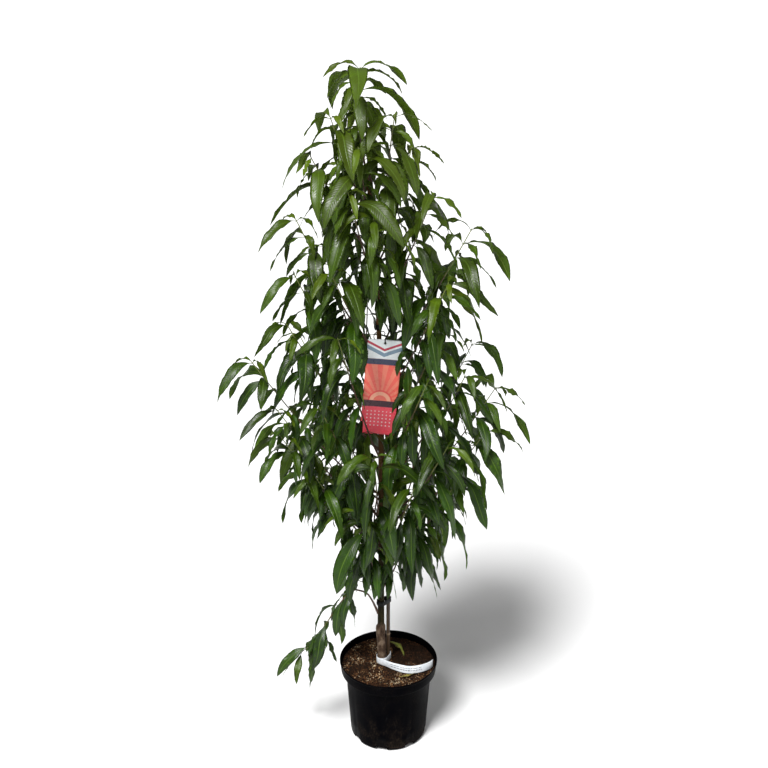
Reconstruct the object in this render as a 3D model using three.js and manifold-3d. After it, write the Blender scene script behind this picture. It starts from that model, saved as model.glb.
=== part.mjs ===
// A young nectarine tree in a round black nursery pot, tied to a bamboo cane.
// Millimetres, +Z up. The origin is the centre of the pot's flat underside, and -Y is the front.
// Each leafy shoot is one closed solid: its leaves are raised from the sides of its three-sided stem.

import * as THREE from "three";
import { mergeVertices } from "three/addons/utils/BufferGeometryUtils.js";
import Module from "manifold-3d";

const wasm = await Module();
wasm.setup();

// Driving dimensions
const FIT_GAP = 0.5; // between pieces that touch
const ROUND_SIDES = 28; // sides of the pot and of the soil that fills it

const POT_HEIGHT = 228;
const RIM_RADIUS = 131; // outside, at the top of the collar
const COLLAR_HEIGHT = 32;
const COLLAR_FOOT_RADIUS = 127.5;
const BODY_TOP_RADIUS = 115;
const BODY_FOOT_RADIUS = 103;
const FOOT_ROUND = 9; // how far the body turns in to its flat underside
const FOOT_TOP = 11.7; // where it begins to turn in
const FOOT_CORNER = [2, 4]; // in from the body and up, halfway round
const LIP = 3; // the rim's upright edge, and the slope under the collar
const WALL = 2.2;
const FLOOR = 3;
const DRAIN_COUNT = 8;
const DRAIN_WIDTH = 34;
const DRAIN_HEIGHT = 13;
const DRAIN_DEPTH = 40;
const DRAIN_TURN = THREE.MathUtils.degToRad(-101); // the first notch, just left of the front

const SOIL_LEVEL = 209;
const SOIL_MOUND = 5; // higher round the trunk
const SOIL_MOUND_REACH = 45;
const SOIL_RELIEF = 2; // height of its low humps
const SOIL_EDGE_DROP = 2; // lower along the pot's wall
const SOIL_RINGS = [0.86, 0.68, 0.48, 0.27, 0]; // its top's rings, as shares of its radius

const TRUNK_FOOT = 110; // the buried end
const ROD_SIDES = 8; // of the trunk and the cane
// The trunk's axis and radius: x, y, z, radius
const TRUNK_LINE = [
  [-17, 0, TRUNK_FOOT, 12.8],
  [-17, 0, 216, 12.8],
  [-17, 0, 224, 13.4],
  [-18, 0, 250, 12.2],
  [-20, 0, 300, 12.2],
  [-21, 0, 320, 13.6],
  [-20.5, 0, 329, 12.6],
  [-20, 0, 335, 9.2],
  [-19.5, 0, 480, 8.2],
  [-19, -2, 710, 7.6],
  [-20, -4, 960, 6.8],
  [-24, -5, 1150, 6],
  [-32, -5, 1350, 5],
  [-47, -4, 1500, 3.9],
  [-52, -3, 1535, 3.4],
];

const CANE_RADIUS = 5.2;
const CANE_KNOT_SPACING = 235;
const CANE_KNOT_RISE = 0.9;
const CANE_KNOT_HALF = 4; // half a knot's length
const CANE_LINE = [
  [-1, 15, 60, CANE_RADIUS],
  [-1, 15, 410, CANE_RADIUS],
  [-9, 14, 610, CANE_RADIUS],
  [-16, 14, 860, CANE_RADIUS],
  [-23, 14.5, 1145, CANE_RADIUS],
  [-32, 15, 1356, CANE_RADIUS],
  [-44, 16, 1544, CANE_RADIUS - 0.4],
];
const CANE_BERTH = THREE.MathUtils.degToRad(78); // a shoot leaves the trunk this far round from the cane

const TIE_HEIGHTS = [402, 1172];
const TIE_NAMES = ["tie_low", "tie_high"];
const TIE_BAND = 15;
const TIE_THICKNESS = 1.6;
const TIE_CLEARANCE = 1.2;
const BAND_SEGMENTS = 5; // of each round end of a tie or of the strap's loop

const LABEL_WIDTH = 84;
const LABEL_HEIGHT = 246;
const LABEL_THICKNESS = 0.8;
const LABEL_CORNER = 4;
const LABEL_HOLE_RADIUS = 3.2;
const LABEL_HOLE_DROP = 10; // from the top edge
const LABEL_HOLE_AT = [-9, -37, 1140]; // the hole's centre
const LABEL_LEAN = THREE.MathUtils.degToRad(5); // the foot swings to the left
const VIEW_SLOPE = 0.41; // fall of the line of sight from above the front, to the label and the low tie
const LABEL_CLEAR = [34, 222]; // the part of its height that leaves are kept away from
const LABEL_EDGE = 9; // and how far over its sides they may reach
const LOOP_RADIUS = 1.2;
const LOOP_SIDES = 5;
const LOOP_STEPS = 30;
// The loop's way from the label's hole round the trunk and the cane: right, back and up from the hole
const LOOP_WAY = [
  [0, 0, 0],
  [0, -5, 4],
  [0, -4, 13],
  [3, 3, 16],
  [-1.6, 22, 14],
  [-0.6, 40, 12],
  [-5.7, 60.7, 10],
  [-20.1, 60.7, 8],
  [-27.1, 38, 6],
  [-24.1, 20, 3],
  [-3, 8, 0],
];
const LOOP_REACH = 14; // how far it stands above the hole

const STRAP_WIDTH = 19;
const STRAP_THICKNESS = 0.8;
const STRAP_LEAN = 7; // how far its upper edge leans back
const STRAP_CLEARANCE = 2;
const STRAP_FOOT_GAP = 3; // above the soil round the trunk
const STRAP_SETTLE = 3; // how far the tail settles towards the soil
const STRAP_SETTLE_FROM = 10; // it starts this far right of the trunk's axis
const STRAP_SETTLE_RUN = 40; // and is done after this run
const STRAP_JOIN = [-5, 1]; // where the tail joins the loop, right of the trunk's axis and into the loop
const STRAP_STEPS = 16;
// The tail's way across the soil
const STRAP_TAIL = [
  [-6, -24],
  [14, -38],
  [40, -48],
  [66, -51],
  [90, -45],
  [108, -33],
  [119, -20],
];

// Leaf form, as shares of a leaf's length unless millimetres are given
const LEAF_STEPS = 24; // steps of the midrib's curve
const PETIOLE_SHARE = 0.07;
const LEAF_STATIONS = [0.4]; // where the faceted leaf has a ring across it
const OUTLINE_BASE_POWER = 0.75;
const OUTLINE_TIP_POWER = 1.05;
const OUTLINE_PEAK = 0.2946; // the largest value of the two powers' product
const PETIOLE_HALF = 1.2; // half the petiole's width, in millimetres
const BLADE_THICKNESS = 1.6; // at the midrib, in millimetres
const WAVE_COUNT = 2.5; // waves of its margins

// Ranges that each leaf's form is drawn from; angles in radians, sizes as shares
const LEAF_DRAW = {
  fromStem: [-0.157, 0.157],
  size: [0.86, 1.08],
  lift: [-0.15, 0.15],
  hang: [-0.1, 0.25],
  bend: [2, 3.4],
  turn: [-0.4, 0.4],
  roll: [-0.5, 0.5],
  twist: [-0.9, 0.9],
  half: [0.125, 0.155],
  fold: [0.22, 0.62],
  wave: [0.6, 2.2], // millimetres
  phase: [0, 1],
};
const FROM_STEM = [35, 72].map(THREE.MathUtils.degToRad); // the youngest leaf's lean, and the oldest's
const HANG = [-0.95, -1.5]; // pitch at the tip, of the youngest and of the oldest
const OLD_PITCH = -0.2; // older leaves start off nearer to this pitch
const YOUNG_NARROWNESS = 0.85; // of the youngest leaf
const LATER_SPREAD = [0.12, 1.5]; // of the heading, in the first try and in the last
const LATER_SIZE = [1, 0.62];

// Growth of leaves on a shoot
const SEED = 8100;
const SEED_STEP = 37; // from one shoot's seed to the next
const GOLDEN_ANGLE = THREE.MathUtils.degToRad(137.5);
const FIRST_NODE = 0.3; // where the leaves begin along a shoot
const LAST_NODE = 0.97;
const NODE_HALF = 2.6; // half the height of the band that a leaf grows from
const NODE_SIZES = [1, 0.7, 0.58]; // of a node's leaves
const YOUNG_SHARE = 0.8; // size of the leaves at a shoot's tip
const LEAF_TRIES = 45;
const LEAST_STAND_OFF = 1; // of a leaf's first section from the side of the stem that it grows from
const STEM_FIRST = 0.3; // where a stem's two control points lie along it
const STEM_SECOND = 0.68;
const STEM_LEAST_REACH = 36; // how far a stem stands off the trunk by its first control point
const STEM_FOOT_RADIUS = 2.9;
const SPRIG_FOOT_RADIUS = 1.6;
const STEM_TIP_RADIUS = 1.1;
const STEM_COLLAR = 1.5; // wider where it leaves the bark
const STEM_COLLAR_SHARE = 0.07;
const BUD_LENGTH = 4;

// Room that leaves keep from each other
const CELL = 3.5; // size of a cell of space
const CELL_SPAN = 1024; // more cells than the tree has along any axis
const ROOM_STEPS = 48; // points along a leaf
const ROOM_ACROSS = 10; // and across it
const STEM_POINTS = 100; // along a stem
const OWN_LEAF_SHARE = 0.12; // nearer its foot a leaf may lie close to its shoot's other leaves
const OWN_STEM_SHARE = 0.18; // nearer its foot it may lie close to its own stem
const POT_CLEAR_RADIUS = 142;
const POT_CLEAR_HEIGHT = 242;
const TRUNK_CLEAR_RADIUS = 75; // leaves hang no lower than this height so near the trunk
const TRUNK_CLEAR_HEIGHT = 450;
const TRUNK_SHOWN_HALF = 55; // and none hides the trunk below this height from the front
const TRUNK_SHOWN_HEIGHT = 425;

// Leafy shoots: name, height of the base on the trunk, tip [x, y, z],
// bow (how far the middle of the arch stands above a straight line), leaf nodes, leaf length.
// They go from the crest down to the skirt.
const SHOOTS = [
  ["shoot_left_crest", 1450, [-132, -30, 1672], -20, 7, 170],
  ["shoot_right_crest", 1425, [12, -35, 1676], -20, 7, 170],
  ["shoot_front_crest", 1395, [-68, -105, 1618], -25, 7, 180],
  ["shoot_back_crest", 1405, [-45, 105, 1625], -20, 7, 175],
  ["shoot_left_top", 1345, [-178, -40, 1588], -25, 7, 170],
  ["shoot_right_top", 1330, [52, 10, 1600], -25, 7, 170],
  ["shoot_front_top", 1280, [-92, -130, 1530], -30, 7, 180],
  ["shoot_back_top", 1240, [-110, 120, 1540], -30, 7, 175],
  ["shoot_right_high", 1215, [100, -45, 1500], -35, 7, 175],
  ["shoot_left_high", 1098, [-216, -45, 1450], -35, 8, 175],
  ["shoot_front_high", 1200, [-35, -135, 1470], -35, 7, 180],
  ["shoot_back_high", 1125, [60, 130, 1450], -35, 7, 175],
  ["shoot_far_right_high", 1085, [194, -20, 1422], -45, 9, 185],
  ["shoot_left_shoulder", 965, [-222, -50, 1320], -45, 8, 175],
  ["shoot_right_shoulder", 985, [138, -85, 1310], -35, 8, 175],
  ["shoot_back_left_shoulder", 1020, [-165, 140, 1340], -35, 7, 175],
  ["shoot_back_right_shoulder", 940, [150, 130, 1270], -40, 8, 175],
  ["shoot_back_shoulder", 915, [-55, 185, 1255], -40, 7, 175],
  ["shoot_front_left_shoulder", 1110, [-135, -120, 1345], -35, 7, 175],
  ["shoot_front_left_middle", 830, [-118, -165, 1205], -35, 7, 175],
  ["shoot_left_middle", 850, [-244, -60, 1205], -40, 8, 170],
  ["shoot_right_middle", 870, [122, -85, 1190], -35, 7, 175],
  ["shoot_front_right_middle", 810, [88, -170, 1095], -35, 7, 170],
  ["shoot_back_left_middle", 790, [-230, 120, 1120], -40, 7, 175],
  ["shoot_back_right_middle", 755, [215, 125, 1090], -45, 7, 175],
  ["shoot_far_left", 725, [-332, -60, 1112], -55, 8, 185],
  ["shoot_far_left_lower", 665, [-272, -90, 1000], -50, 8, 160],
  ["shoot_far_right", 700, [185, -60, 1075], -50, 8, 180],
  ["shoot_far_right_outer", 650, [264, -30, 1035], -55, 9, 185],
  ["shoot_front_left", 710, [-165, -150, 1030], -45, 7, 175],
  ["shoot_front_right", 620, [140, -165, 935], -40, 7, 175],
  ["shoot_back_left", 650, [-140, 215, 960], -45, 7, 175],
  ["shoot_back_right", 630, [130, 210, 955], -45, 7, 175],
  ["shoot_right_low", 595, [242, -65, 935], -50, 8, 175],
  ["shoot_left_low", 585, [-264, -85, 925], -45, 8, 175],
  ["shoot_front", 600, [-35, -185, 915], -35, 7, 185],
  ["shoot_front_right_low", 555, [60, -185, 835], -35, 7, 180],
  ["shoot_back_left_low", 600, [-215, 135, 870], -45, 7, 175],
  ["shoot_back_right_low", 540, [215, 110, 815], -45, 7, 175],
  ["shoot_back_low", 550, [0, 225, 820], -45, 7, 175],
  ["shoot_left_foot", 575, [-180, -105, 825], -40, 7, 170],
  ["shoot_right_foot", 510, [165, -60, 780], -40, 7, 170],
  ["shoot_front_foot", 490, [92, -128, 745], -35, 7, 175],
  ["shoot_front_left_foot", 500, [-66, -125, 738], -30, 7, 180],
  ["shoot_right_skirt", 455, [66, -60, 690], -20, 6, 170],
  ["shoot_left_skirt", 465, [-66, -70, 685], -20, 5, 160],
];
// Three more have their control points given instead of a bow. The leader needs no height on the trunk.
const LOW_TWIG = ["low_twig", 374, [-238, -40, 268], [[-96, -15, 575], [-152, -40, 320]], 10, 145];
const LOW_SPRIG = ["low_sprig", 450, [-84, -20, 482], [[-48, -2, 458], [-68, -10, 470]], 2, 85];
const LEADER = ["leader", null, [-64, 0, 1775], [[-62, -3, 1600], [-80, -2, 1690]], 12, 195];
const LEADER_SEAT = 1; // gap above the trunk's end

// Colours from the photograph
const LEAF_GREEN = 0x2c5a1c;
const BARK_BROWN = 0x4a3a30;
const CANE_BROWN = 0x6b4a3a;
const POT_BLACK = 0x131418;
const SOIL_BROWN = 0x4b3423;
const TIE_BLACK = 0x101010;
const LABEL_RED = 0xd8343f;
const STRAP_WHITE = 0xe9edf2;
const FADED_GREEN = 0x7c8c3a;
const FADED_YELLOW = 0xb39a3c;

function finish(color, roughness) {
  return new THREE.MeshStandardMaterial({ color, roughness, metalness: 0 });
}

const LEAF_FINISH = finish(LEAF_GREEN, 0.45);
const BARK_FINISH = finish(BARK_BROWN, 0.85);
const CANE_FINISH = finish(CANE_BROWN, 0.6);
const POT_FINISH = finish(POT_BLACK, 0.45);
const SOIL_FINISH = finish(SOIL_BROWN, 0.95);
const TIE_FINISH = finish(TIE_BLACK, 0.5);
const LABEL_FINISH = finish(LABEL_RED, 0.35);
const STRAP_FINISH = finish(STRAP_WHITE, 0.5);
const FADED_LEAF_FINISH = finish(FADED_GREEN, 0.6);
const DRY_LEAF_FINISH = finish(FADED_YELLOW, 0.7);

// Solids that manifold-3d joins and cuts

function toSolid(geometry) {
  const bare = new THREE.BufferGeometry().setAttribute("position", geometry.getAttribute("position"));
  if (geometry.index) bare.setIndex(geometry.index);
  const merged = mergeVertices(bare, 1e-3);
  return new wasm.Manifold(
    new wasm.Mesh({
      numProp: 3,
      vertProperties: new Float32Array(merged.attributes.position.array),
      triVerts: new Uint32Array(merged.index.array),
    }),
  );
}

function toGeometry(solid) {
  const mesh = solid.getMesh();
  const geometry = new THREE.BufferGeometry();
  geometry.setAttribute("position", new THREE.BufferAttribute(new Float32Array(mesh.vertProperties), 3));
  geometry.setIndex(new THREE.BufferAttribute(new Uint32Array(mesh.triVerts), 1));
  geometry.computeVertexNormals();
  return geometry;
}

// A lathe turned about Z from [radius, height] pairs that start and end on the axis.
function lathe(profile, sides) {
  const points = profile.map(([radius, height]) => new THREE.Vector2(radius, height));
  return new THREE.LatheGeometry(points, sides).rotateX(Math.PI / 2);
}

function named(name, geometry, material) {
  const mesh = new THREE.Mesh(geometry, material);
  mesh.name = name;
  return mesh;
}

// Pot

const STEP_HEIGHT = POT_HEIGHT - COLLAR_HEIGHT;

function potGeometry() {
  const profile = [
    [0, 0],
    [BODY_FOOT_RADIUS - FOOT_ROUND, 0],
    [BODY_FOOT_RADIUS - FOOT_CORNER[0], FOOT_CORNER[1]],
    [BODY_FOOT_RADIUS, FOOT_TOP],
    [BODY_TOP_RADIUS, STEP_HEIGHT - LIP],
    [COLLAR_FOOT_RADIUS, STEP_HEIGHT],
    [RIM_RADIUS, POT_HEIGHT - LIP],
    [RIM_RADIUS, POT_HEIGHT],
    [RIM_RADIUS - WALL, POT_HEIGHT],
    [COLLAR_FOOT_RADIUS - WALL, STEP_HEIGHT + WALL],
    [BODY_TOP_RADIUS - WALL, STEP_HEIGHT],
    [BODY_FOOT_RADIUS - WALL, FOOT_TOP],
    [BODY_FOOT_RADIUS - FOOT_ROUND - WALL, FLOOR],
    [0, FLOOR],
  ];
  let pot = toSolid(lathe(profile, ROUND_SIDES));
  for (let i = 0; i < DRAIN_COUNT; i++) {
    const notch = new THREE.BoxGeometry(DRAIN_DEPTH, DRAIN_WIDTH, 2 * DRAIN_HEIGHT)
      .translate(BODY_FOOT_RADIUS - DRAIN_DEPTH / 4, 0, 0)
      .rotateZ(DRAIN_TURN + (i * 2 * Math.PI) / DRAIN_COUNT);
    pot = pot.subtract(toSolid(notch));
  }
  return toGeometry(pot);
}

// Soil

// Low humps from crossing waves, and a mound round the trunk.
function soilHeight(x, y) {
  const fromTrunk = Math.hypot(x - TRUNK_LINE[0][0], y);
  const mound = SOIL_MOUND * Math.exp(-((fromTrunk / SOIL_MOUND_REACH) ** 2));
  const relief = Math.sin(x * 0.061 + 1.3) * Math.cos(y * 0.073 - 0.4) + 0.6 * Math.sin(x * 0.13 - y * 0.11);
  return SOIL_LEVEL + mound + SOIL_RELIEF * relief;
}

// A plain upright hole for a rod that stands in the soil.
function soilHole([x, y, foot, radius]) {
  const wide = (radius + FIT_GAP) / Math.cos(Math.PI / ROD_SIDES);
  const profile = [
    [0, foot - FIT_GAP],
    [wide, foot - FIT_GAP],
    [wide, POT_HEIGHT],
    [0, POT_HEIGHT],
  ];
  return toSolid(lathe(profile, ROD_SIDES).translate(x, y, 0));
}

function soilGeometry() {
  const wallTop = SOIL_LEVEL - SOIL_EDGE_DROP;
  const slope = (RIM_RADIUS - COLLAR_FOOT_RADIUS) / COLLAR_HEIGHT;
  const topRadius = COLLAR_FOOT_RADIUS - WALL - FIT_GAP + slope * (wallTop - STEP_HEIGHT - WALL);
  const profile = [
    [0, FLOOR + FIT_GAP],
    [BODY_FOOT_RADIUS - FOOT_ROUND - WALL - FIT_GAP, FLOOR + FIT_GAP],
    [BODY_FOOT_RADIUS - WALL - FIT_GAP, FOOT_TOP + FIT_GAP],
    [BODY_TOP_RADIUS - WALL - FIT_GAP, STEP_HEIGHT + 2 * FIT_GAP],
    [COLLAR_FOOT_RADIUS - WALL - FIT_GAP, STEP_HEIGHT + WALL + 2 * FIT_GAP],
    [topRadius, wallTop],
    ...SOIL_RINGS.map((share) => [topRadius * share, SOIL_LEVEL]),
  ];
  const geometry = lathe(profile, ROUND_SIDES);
  const position = geometry.getAttribute("position");
  for (let i = 0; i < position.count; i++) {
    if (position.getZ(i) > (wallTop + SOIL_LEVEL) / 2) {
      position.setZ(i, soilHeight(position.getX(i), position.getY(i)));
    }
  }
  const soil = toSolid(geometry).subtract(soilHole(TRUNK_LINE[0])).subtract(soilHole(CANE_LINE[0]));
  return toGeometry(soil);
}

// Trunk and cane: rods whose rings follow a line

// A line's [x, y, z, radius] at a height.
function lineAt(line, height) {
  let i = 1;
  while (i < line.length - 1 && line[i][2] < height) i++;
  const [from, to] = [line[i - 1], line[i]];
  const share = Math.min(1, Math.max(0, (height - from[2]) / (to[2] - from[2])));
  return from.map((value, axis) => value + (to[axis] - value) * share);
}

function rodGeometry(line) {
  const profile = line.map(([, , height, radius]) => [radius, height]);
  profile.unshift([0, line[0][2]]);
  profile.push([0, line.at(-1)[2]]);
  const geometry = lathe(profile, ROD_SIDES);
  const position = geometry.getAttribute("position");
  for (let i = 0; i < position.count; i++) {
    const [x, y] = lineAt(line, position.getZ(i));
    position.setX(i, position.getX(i) + x);
    position.setY(i, position.getY(i) + y);
  }
  return toGeometry(toSolid(geometry));
}

// The cane's line with the raised rings of its knots.
function knottedLine() {
  const line = CANE_LINE.map((point) => [...point]);
  const last = CANE_LINE.at(-1)[2] - 5 * CANE_KNOT_HALF;
  for (let z = CANE_LINE[0][2] + CANE_KNOT_SPACING; z < last; z += CANE_KNOT_SPACING) {
    for (const [off, rise] of [[-CANE_KNOT_HALF, 0], [0, CANE_KNOT_RISE], [CANE_KNOT_HALF, 0]]) {
      const [x, y, height, radius] = lineAt(CANE_LINE, z + off);
      line.push([x, y, height, radius + rise]);
    }
  }
  return line.sort((a, b) => a[2] - b[2]);
}

// Ties: flat bands with round ends, round the trunk and the cane together

function bandOutline(shape, from, fromRadius, to, toRadius) {
  const across = Math.atan2(to[1] - from[1], to[0] - from[0]);
  const spread = Math.hypot(to[0] - from[0], to[1] - from[1]);
  const turn = Math.acos((fromRadius - toRadius) / spread); // to where the straight sides begin
  shape.absarc(to[0], to[1], toRadius, across - turn, across + turn, false);
  shape.absarc(from[0], from[1], fromRadius, across + turn, across - turn + 2 * Math.PI, false);
  shape.closePath();
  return shape;
}

function tieGeometry(height) {
  const trunk = lineAt(TRUNK_LINE, height);
  const cane = lineAt(CANE_LINE, height);
  const trunkRadius = trunk[3] + TIE_CLEARANCE;
  const caneRadius = CANE_RADIUS + TIE_CLEARANCE;
  const outer = bandOutline(
    new THREE.Shape(),
    trunk,
    trunkRadius + TIE_THICKNESS,
    cane,
    caneRadius + TIE_THICKNESS,
  );
  outer.holes.push(bandOutline(new THREE.Path(), trunk, trunkRadius, cane, caneRadius));
  const band = new THREE.ExtrudeGeometry(outer, {
    depth: TIE_BAND,
    bevelEnabled: false,
    curveSegments: BAND_SEGMENTS,
  });
  return toGeometry(toSolid(band.translate(0, 0, height - TIE_BAND / 2)));
}

// Hanging label and the loop that carries it

function labelGeometry() {
  const [half, drop, r] = [LABEL_WIDTH / 2, LABEL_HEIGHT - LABEL_HOLE_DROP, LABEL_CORNER];
  const card = new THREE.Shape();
  card.absarc(half - r, LABEL_HOLE_DROP - r, r, 0, Math.PI / 2, false);
  card.absarc(r - half, LABEL_HOLE_DROP - r, r, Math.PI / 2, Math.PI, false);
  card.absarc(r - half, r - drop, r, Math.PI, 1.5 * Math.PI, false);
  card.absarc(half - r, r - drop, r, 1.5 * Math.PI, 2 * Math.PI, false);
  card.closePath();
  card.holes.push(new THREE.Path().absarc(0, 0, LABEL_HOLE_RADIUS, 0, 2 * Math.PI, true));
  const geometry = new THREE.ExtrudeGeometry(card, {
    depth: LABEL_THICKNESS,
    bevelEnabled: false,
    curveSegments: 3,
  });
  geometry
    .rotateX(Math.PI / 2)
    .translate(0, LABEL_THICKNESS / 2, 0)
    .rotateY(LABEL_LEAN)
    .translate(...LABEL_HOLE_AT);
  return toGeometry(toSolid(geometry));
}

function loopGeometry() {
  const [x, y, z] = LABEL_HOLE_AT;
  const points = LOOP_WAY.map(([right, back, up]) => new THREE.Vector3(x + right, y + back, z + up));
  const path = new THREE.CatmullRomCurve3(points, true);
  return toGeometry(toSolid(new THREE.TubeGeometry(path, LOOP_STEPS, LOOP_RADIUS, LOOP_SIDES, true)));
}

// Strap: a plastic strip looped round the trunk and the cane, its tail lying across the soil

// An upright strip of even thickness along a curve in plan.
function stripGeometry(curve, steps) {
  const left = [];
  const right = [];
  for (let i = 0; i <= steps; i++) {
    const point = curve.getPoint(i / steps);
    const along = curve.getTangent(i / steps);
    const side = new THREE.Vector2(-along.y, along.x).multiplyScalar(STRAP_THICKNESS / 2);
    left.push(new THREE.Vector2(point.x + side.x, point.y + side.y));
    right.unshift(new THREE.Vector2(point.x - side.x, point.y - side.y));
  }
  const shape = new THREE.Shape([...left, ...right]);
  return new THREE.ExtrudeGeometry(shape, { depth: STRAP_WIDTH, bevelEnabled: false });
}

function strapGeometry() {
  const foot = SOIL_LEVEL + SOIL_MOUND + STRAP_FOOT_GAP;
  const trunk = lineAt(TRUNK_LINE, foot);
  const cane = lineAt(CANE_LINE, foot);
  const [trunkRadius, caneRadius] = [trunk[3] + STRAP_CLEARANCE, cane[3] + STRAP_CLEARANCE];
  const thick = STRAP_THICKNESS;
  const ring = bandOutline(new THREE.Shape(), trunk, trunkRadius + thick, cane, caneRadius + thick);
  ring.holes.push(bandOutline(new THREE.Path(), trunk, trunkRadius, cane, caneRadius));
  const loop = new THREE.ExtrudeGeometry(ring, {
    depth: STRAP_WIDTH,
    bevelEnabled: false,
    curveSegments: BAND_SEGMENTS,
  });
  const start = [trunk[0] + STRAP_JOIN[0], trunk[1] - trunkRadius - thick / 2 + STRAP_JOIN[1]];
  const line = [start, ...STRAP_TAIL].map(([x, y]) => new THREE.Vector3(x, y, 0));
  const tail = stripGeometry(new THREE.CatmullRomCurve3(line), STRAP_STEPS);
  const position = tail.getAttribute("position");
  for (let i = 0; i < position.count; i++) {
    const [x, y, z] = [position.getX(i), position.getY(i), position.getZ(i)];
    const away = THREE.MathUtils.clamp((x - trunk[0] - STRAP_SETTLE_FROM) / STRAP_SETTLE_RUN, 0, 1);
    position.setY(i, y + (STRAP_LEAN * away * z) / STRAP_WIDTH);
    position.setZ(i, z - STRAP_SETTLE * away);
  }
  return toGeometry(toSolid(loop).add(toSolid(tail)).translate(0, 0, foot));
}

// Leaves

// A seeded generator, so that every run grows the same tree.
function seeded(seed) {
  let state = seed >>> 0;
  return (low, high) => {
    state = (Math.imul(state, 1664525) + 1013904223) >>> 0;
    return low + ((high - low) * state) / 4294967296;
  };
}

const vector = (values) => new THREE.Vector3(...values);
const mix = (from, to, share) => from + (to - from) * share;

// Half the blade's width at a share of the leaf's length.
function halfWidth(leaf, share) {
  const blade = (share - PETIOLE_SHARE) / (1 - PETIOLE_SHARE);
  if (blade <= 0 || blade >= 1) return PETIOLE_HALF;
  const outline = blade ** OUTLINE_BASE_POWER * (1 - blade) ** OUTLINE_TIP_POWER;
  return Math.max(PETIOLE_HALF, (leaf.half * outline) / OUTLINE_PEAK);
}

// Pitch and heading of the midrib: it arches over and hangs, fastest near the stem.
function midribTurn(leaf, share) {
  const pitch = mix(leaf.pitch, leaf.hang, 1 - (1 - share) ** leaf.bend);
  return [pitch, leaf.heading + leaf.turn * share];
}

function midribWay(leaf, share) {
  const [pitch, heading] = midribTurn(leaf, share);
  return new THREE.Vector3(
    Math.cos(pitch) * Math.cos(heading),
    Math.cos(pitch) * Math.sin(heading),
    Math.sin(pitch),
  );
}

function midrib(leaf) {
  const points = [vector(leaf.root)];
  const step = leaf.length / LEAF_STEPS;
  for (let i = 0; i < LEAF_STEPS; i++) {
    points.push(points[i].clone().addScaledVector(midribWay(leaf, (i + 0.5) / LEAF_STEPS), step));
  }
  return points;
}

// One section of the blade: its centre, its left and right edges and its upward normal.
function section(leaf, rib, share) {
  const [pitch, heading] = midribTurn(leaf, share);
  const level = new THREE.Vector3(-Math.sin(heading), Math.cos(heading), 0);
  const upright = new THREE.Vector3(
    -Math.sin(pitch) * Math.cos(heading),
    -Math.sin(pitch) * Math.sin(heading),
    Math.cos(pitch),
  );
  const roll = leaf.roll + leaf.twist * share;
  const side = level.clone().multiplyScalar(Math.cos(roll)).addScaledVector(upright, Math.sin(roll));
  const up = upright.clone().multiplyScalar(Math.cos(roll)).addScaledVector(level, -Math.sin(roll));
  const place = share * LEAF_STEPS;
  const at = Math.min(LEAF_STEPS - 1, Math.floor(place));
  const centre = rib[at].clone().lerp(rib[at + 1], place - at);
  const half = halfWidth(leaf, share);
  const waviness = half > PETIOLE_HALF ? leaf.wave : 0;
  const wave = waviness * Math.sin(2 * Math.PI * (WAVE_COUNT * share + leaf.phase));
  const across = half * Math.cos(leaf.fold);
  const lift = half * Math.sin(leaf.fold);
  return {
    centre,
    up,
    left: centre.clone().addScaledVector(side, across).addScaledVector(up, lift + wave),
    right: centre.clone().addScaledVector(side, -across).addScaledVector(up, lift - wave),
  };
}

// The faceted leaf's sections: its root, a section at each station and its pointed tip.
function leafSections(leaf) {
  const rib = midrib(leaf);
  const rows = LEAF_STATIONS.map((share) => section(leaf, rib, share));
  return { root: rib[0], rows, tip: rib[LEAF_STEPS] };
}

// Whether a point in front of the label stands in the way of the view from above the front.
function hidesLabel({ x, y, z }) {
  const ahead = LABEL_HOLE_AT[1] - y;
  const down = LABEL_HOLE_AT[2] - z + VIEW_SLOPE * ahead;
  const across = x - LABEL_HOLE_AT[0] + down * Math.sin(LABEL_LEAN);
  const [top, foot] = LABEL_CLEAR;
  return ahead > 0 && down > top && down < foot && Math.abs(across) < LABEL_WIDTH / 2 - LABEL_EDGE;
}

// Whether a point in front of the trunk hides its bare foot.
function hidesFoot({ x, y, z }) {
  const seen = z - VIEW_SLOPE * Math.max(0, -y);
  return Math.abs(x - TRUNK_LINE[0][0]) < TRUNK_SHOWN_HALF && seen < TRUNK_SHOWN_HEIGHT;
}

const SHARED = -1; // owner of a cell that more than one piece is near
const FIXED = -2; // owner of the cells of the trunk, cane and label

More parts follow.
